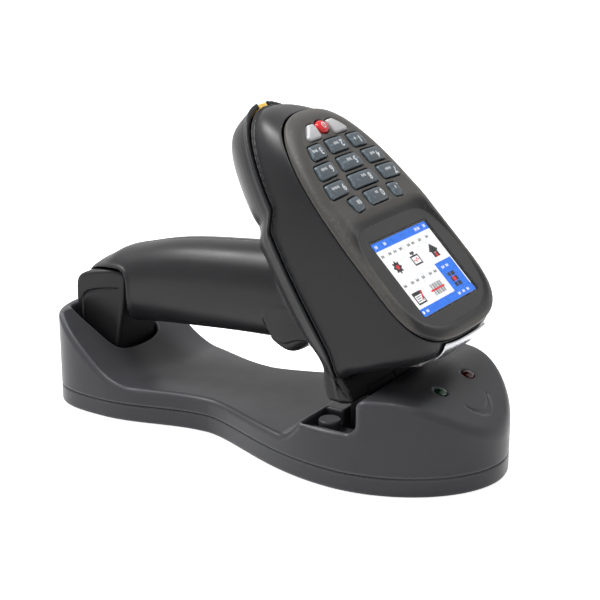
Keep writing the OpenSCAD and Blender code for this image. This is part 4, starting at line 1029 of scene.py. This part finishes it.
# Key: the sign, its place, and the place and number of the small dashes beside it.
SIGNS = {"key_1": ("1", (-59.6, 15.8), (-60.2, 12.7), 1), "key_2": ("2", (-60.4, 2.8), (-61, -1), 3),
         "key_3": ("3", (-59.9, -13.1), (-60.4, -17.1), 3), "key_4": ("4", (-50.6, 19.9), (-51.7, 16.6), 3),
         "key_5": ("5", (-51.8, 3.4), (-52.6, -0.6), 3), "key_6": ("6", (-51.5, -14.9), (-52.1, -19.8), 4),
         "key_7": ("7", (-41.7, 23.2), (-43.1, 18.9), 4), "key_8": ("8", (-43.1, 4.6), (-44.1, 0.6), 3),
         "key_9": ("9", (-42.6, -15.9), (-43.2, -21.4), 5), "key_0": ("0", (-34.8, 4.4), (-35.5, 0.6), 2),
         "key_f": ("", (-34.4, -11.7), (-34.3, -13.4), 4), "key_point": (".", (-34.4, 17.2), (-34.5, 14.7), 1)}


def build_signs():
    for name, (text, place, small, count) in SIGNS.items():
        shapes = [glyph(text, SIGN_SIZE)] if text else []
        high = TALL_DASH if name == "key_f" else DASH_H
        for k in range(count):
            shapes.append(bar(place[1] - small[1] + (k - (count - 1) / 2) * DASH_STEP, small[0] - place[0], DASH_W,
                              high - 0.35 * (k % 2)))
        print_on("sign_" + name, shapes,
                 lambda x, y: (place[0] + y, place[1] - x, key_surface(name, place[0] + y, place[1] - x) + PROUD),
                 "sign_white", "button_" + name)
    ring = ([(r * cosine(t), r * sine(t)) for t in range(0, 360, 12) for r in (0.95, 1.35)],
            [(2 * i, 2 * i + 1, (2 * i + 3) % 60, (2 * i + 2) % 60) for i in range(30)])
    print_on("sign_power", [ring, bar(0, 0, 0.35, 0.95)],
             lambda x, y: (-POWER_U + y, -x, key_surface("power_key", -POWER_U + y, -x) + PROUD),
             "sign_white", "button_power_key")


# --- picture on the display

SCREEN_U, SCREEN_V = 34.85, 43.56
PICTURE_W, LAYER_STEP = -1.09, 0.015


def circle(x, y, r, n=24):
    return [(x + r * cosine(360 * i / n), y + r * sine(360 * i / n)) for i in range(n)]


def box(x0, y0, x1, y1):
    return [(x0, y0), (x1, y0), (x1, y1), (x0, y1)]


def stroke(points, width):
    """A bent line as a row of quadrilaterals."""
    quads = []
    for (ax, ay), (bx, by) in zip(points, points[1:]):
        d = math.hypot(bx - ax, by - ay)
        nx, ny = (ay - by) / d * width / 2, (bx - ax) / d * width / 2
        quads.append([(ax - nx, ay - ny), (bx - nx, by - ny), (bx + nx, by + ny), (ax + nx, ay + ny)])
    return quads


def ticks(places, y, size, high):
    """Short rows of small marks where a screen has its captions."""
    shapes = []
    for x in places:
        for k, (w, h) in enumerate(((0.5, 1.0), (0.42, 0.7), (0.5, 0.9))):
            shapes.append(bar(x + (k - 1) * 0.68 * size, y + 0.1 * (k % 2), w * size, h * high))
    return shapes


def gear(x, y):
    shape = []
    for i in range(32):
        r = 2.95 if i % 4 in (0, 1) else 2.15
        shape.append((x + r * cosine(11.25 * i - 5.6), y + r * sine(11.25 * i - 5.6)))
    return shape


def build_picture():
    bars = [(17.0, 0.5), (17.9, 0.3), (18.8, 0.8), (20.0, 0.35), (20.8, 0.6), (21.8, 0.3), (22.6, 0.7), (23.7, 0.4),
            (24.6, 0.6)]
    layers = [
        ("ground", "screen_white", [box(0, 0, SCREEN_V, SCREEN_U)]),
        ("fields", "screen_blue", [box(0, 0, SCREEN_V, 3.6), box(0, 31.4, SCREEN_V, SCREEN_U),
                                 box(29.6, 18.0, 42.9, 31.4)]),
        ("dark", "screen_black",
         [gear(6.8, 12.6), box(18.0, 10.9, 24.1, 15.4), box(19.6, 9.3, 22.6, 10.4), box(20.6, 10.0, 21.5, 11.2),
          [(32.2, 12.6), (35.6, 9.4), (39, 12.6), (38, 13.2), (35.6, 11), (33.2, 13.2)],
          [(33.4, 12.6), (35.6, 10.8), (37.8, 12.6), (37.8, 15.8), (33.4, 15.8)],
          box(2.7, 24.4, 9.2, 29.9)]
         + [box(x0, y0, x1, y1) for y0, y1 in ((23.6, 25.4), (25.9, 27.9), (28.4, 30.3))
            for x0, x1 in ((33.0, 35.0), (35.5, 38.0))]
         + [box(x, 24.5, x + w, 29.6) for x, w in bars]
         + ticks((2.7, 8.2, 12.2, 16.6, 22.9, 26.5, 31.9, 37.8), 6.3, 1.0, 1.3)
         + ticks((2.8, 8.5, 12.5, 17.2, 23.0, 26.9), 20.6, 1.0, 1.3)),
        ("light", "screen_white",
         [box(18.7, 11.6, 23.4, 14.7), box(3.4, 25.9, 8.5, 29.2), box(35.1, 13.6, 36.2, 15.8)]
         + ticks((3.0, 9.6, 34.4, 36.6, 41.2), 1.7, 0.9, 1.5) + ticks((33.4, 36.8), 20.6, 1.0, 1.2)
         + [circle(1.9, 33.1, 0.75, 12)] + ticks((5.0, 31.4, 35.0, 38.6), 33.1, 0.9, 1.3)),
        ("accent", "screen_red",
         [circle(6.8, 12.6, 1.1), box(15.4, 26.8, 26.2, 27.6), circle(35.3, 26.9, 1.2, 16)]
         + stroke([(19.0, 13.4), (20.2, 12.9), (20.8, 14.1), (21.7, 12.2), (22.4, 13.5), (23.1, 13.0)], 0.4)
         + stroke([(9.9, 24.6), (7.4, 28.6)], 0.9) + [box(35.0, 13.8, 36.3, 15.8)]),
        ("lines", "screen_black",
         [side for x, y in ((7.6, 26.6), (7.0, 27.5), (6.6, 28.4)) for side in stroke([(4.0, y), (x, y)], 0.3)]),
    ]
    for k, (name, look, shapes) in enumerate(layers):
        print_on("screen_" + name, shapes,
                 lambda x, y: (y - SCREEN_U / 2, x - SCREEN_V / 2, PICTURE_W + LAYER_STEP * k), look)


wear_slots()
build_cradle()
build_upper_housing()
build_grips()
build_cap()
build_trigger()
build_plate()
build_light_pipe()
build_face()
build_keys()
build_signs()
build_picture()

# --- stage

floor_mesh = bpy.data.meshes.new("floor")
floor_mesh.from_pydata([(x, y, 0) for x, y in box(-4, -4, 4, 4)], [], [(0, 1, 2, 3)])
floor = placed("floor", floor_mesh)
nodes = new_material("floor")
floor_tone = mix(nodes, noise(nodes, object_place(nodes), 6), (0.86, 0.86, 0.86, 1), (0.88, 0.88, 0.88, 1))
diffuse = nodes.add("BsdfDiffuse", {"Color": floor_tone})
# Seen straight on, in a mirror or through glass, floor and studio are white; the shadow stays.
level = nodes.add("MapRange", {"Value": seen_ray(nodes), "To Min": 0, "To Max": 0.8})
glow = nodes.add("Emission", {"Color": (1, 1, 1, 1), "Strength": level})
nodes.add("OutputMaterial", {"Surface": nodes.add("AddShader", {0: diffuse, 1: glow})})
floor_mesh.materials.append(LOOKS["floor"])

world = bpy.data.worlds.new("studio")
bpy.context.scene.world = world
world.use_nodes = True
world.node_tree.nodes.clear()
sky = Nodes(world.node_tree)
level = sky.add("MapRange", {"Value": seen_ray(sky), "To Min": 0.2, "To Max": 1.0})
sky.add("OutputWorld", {"Surface": sky.add("Background", {"Color": (1, 1, 1, 1), "Strength": level})})
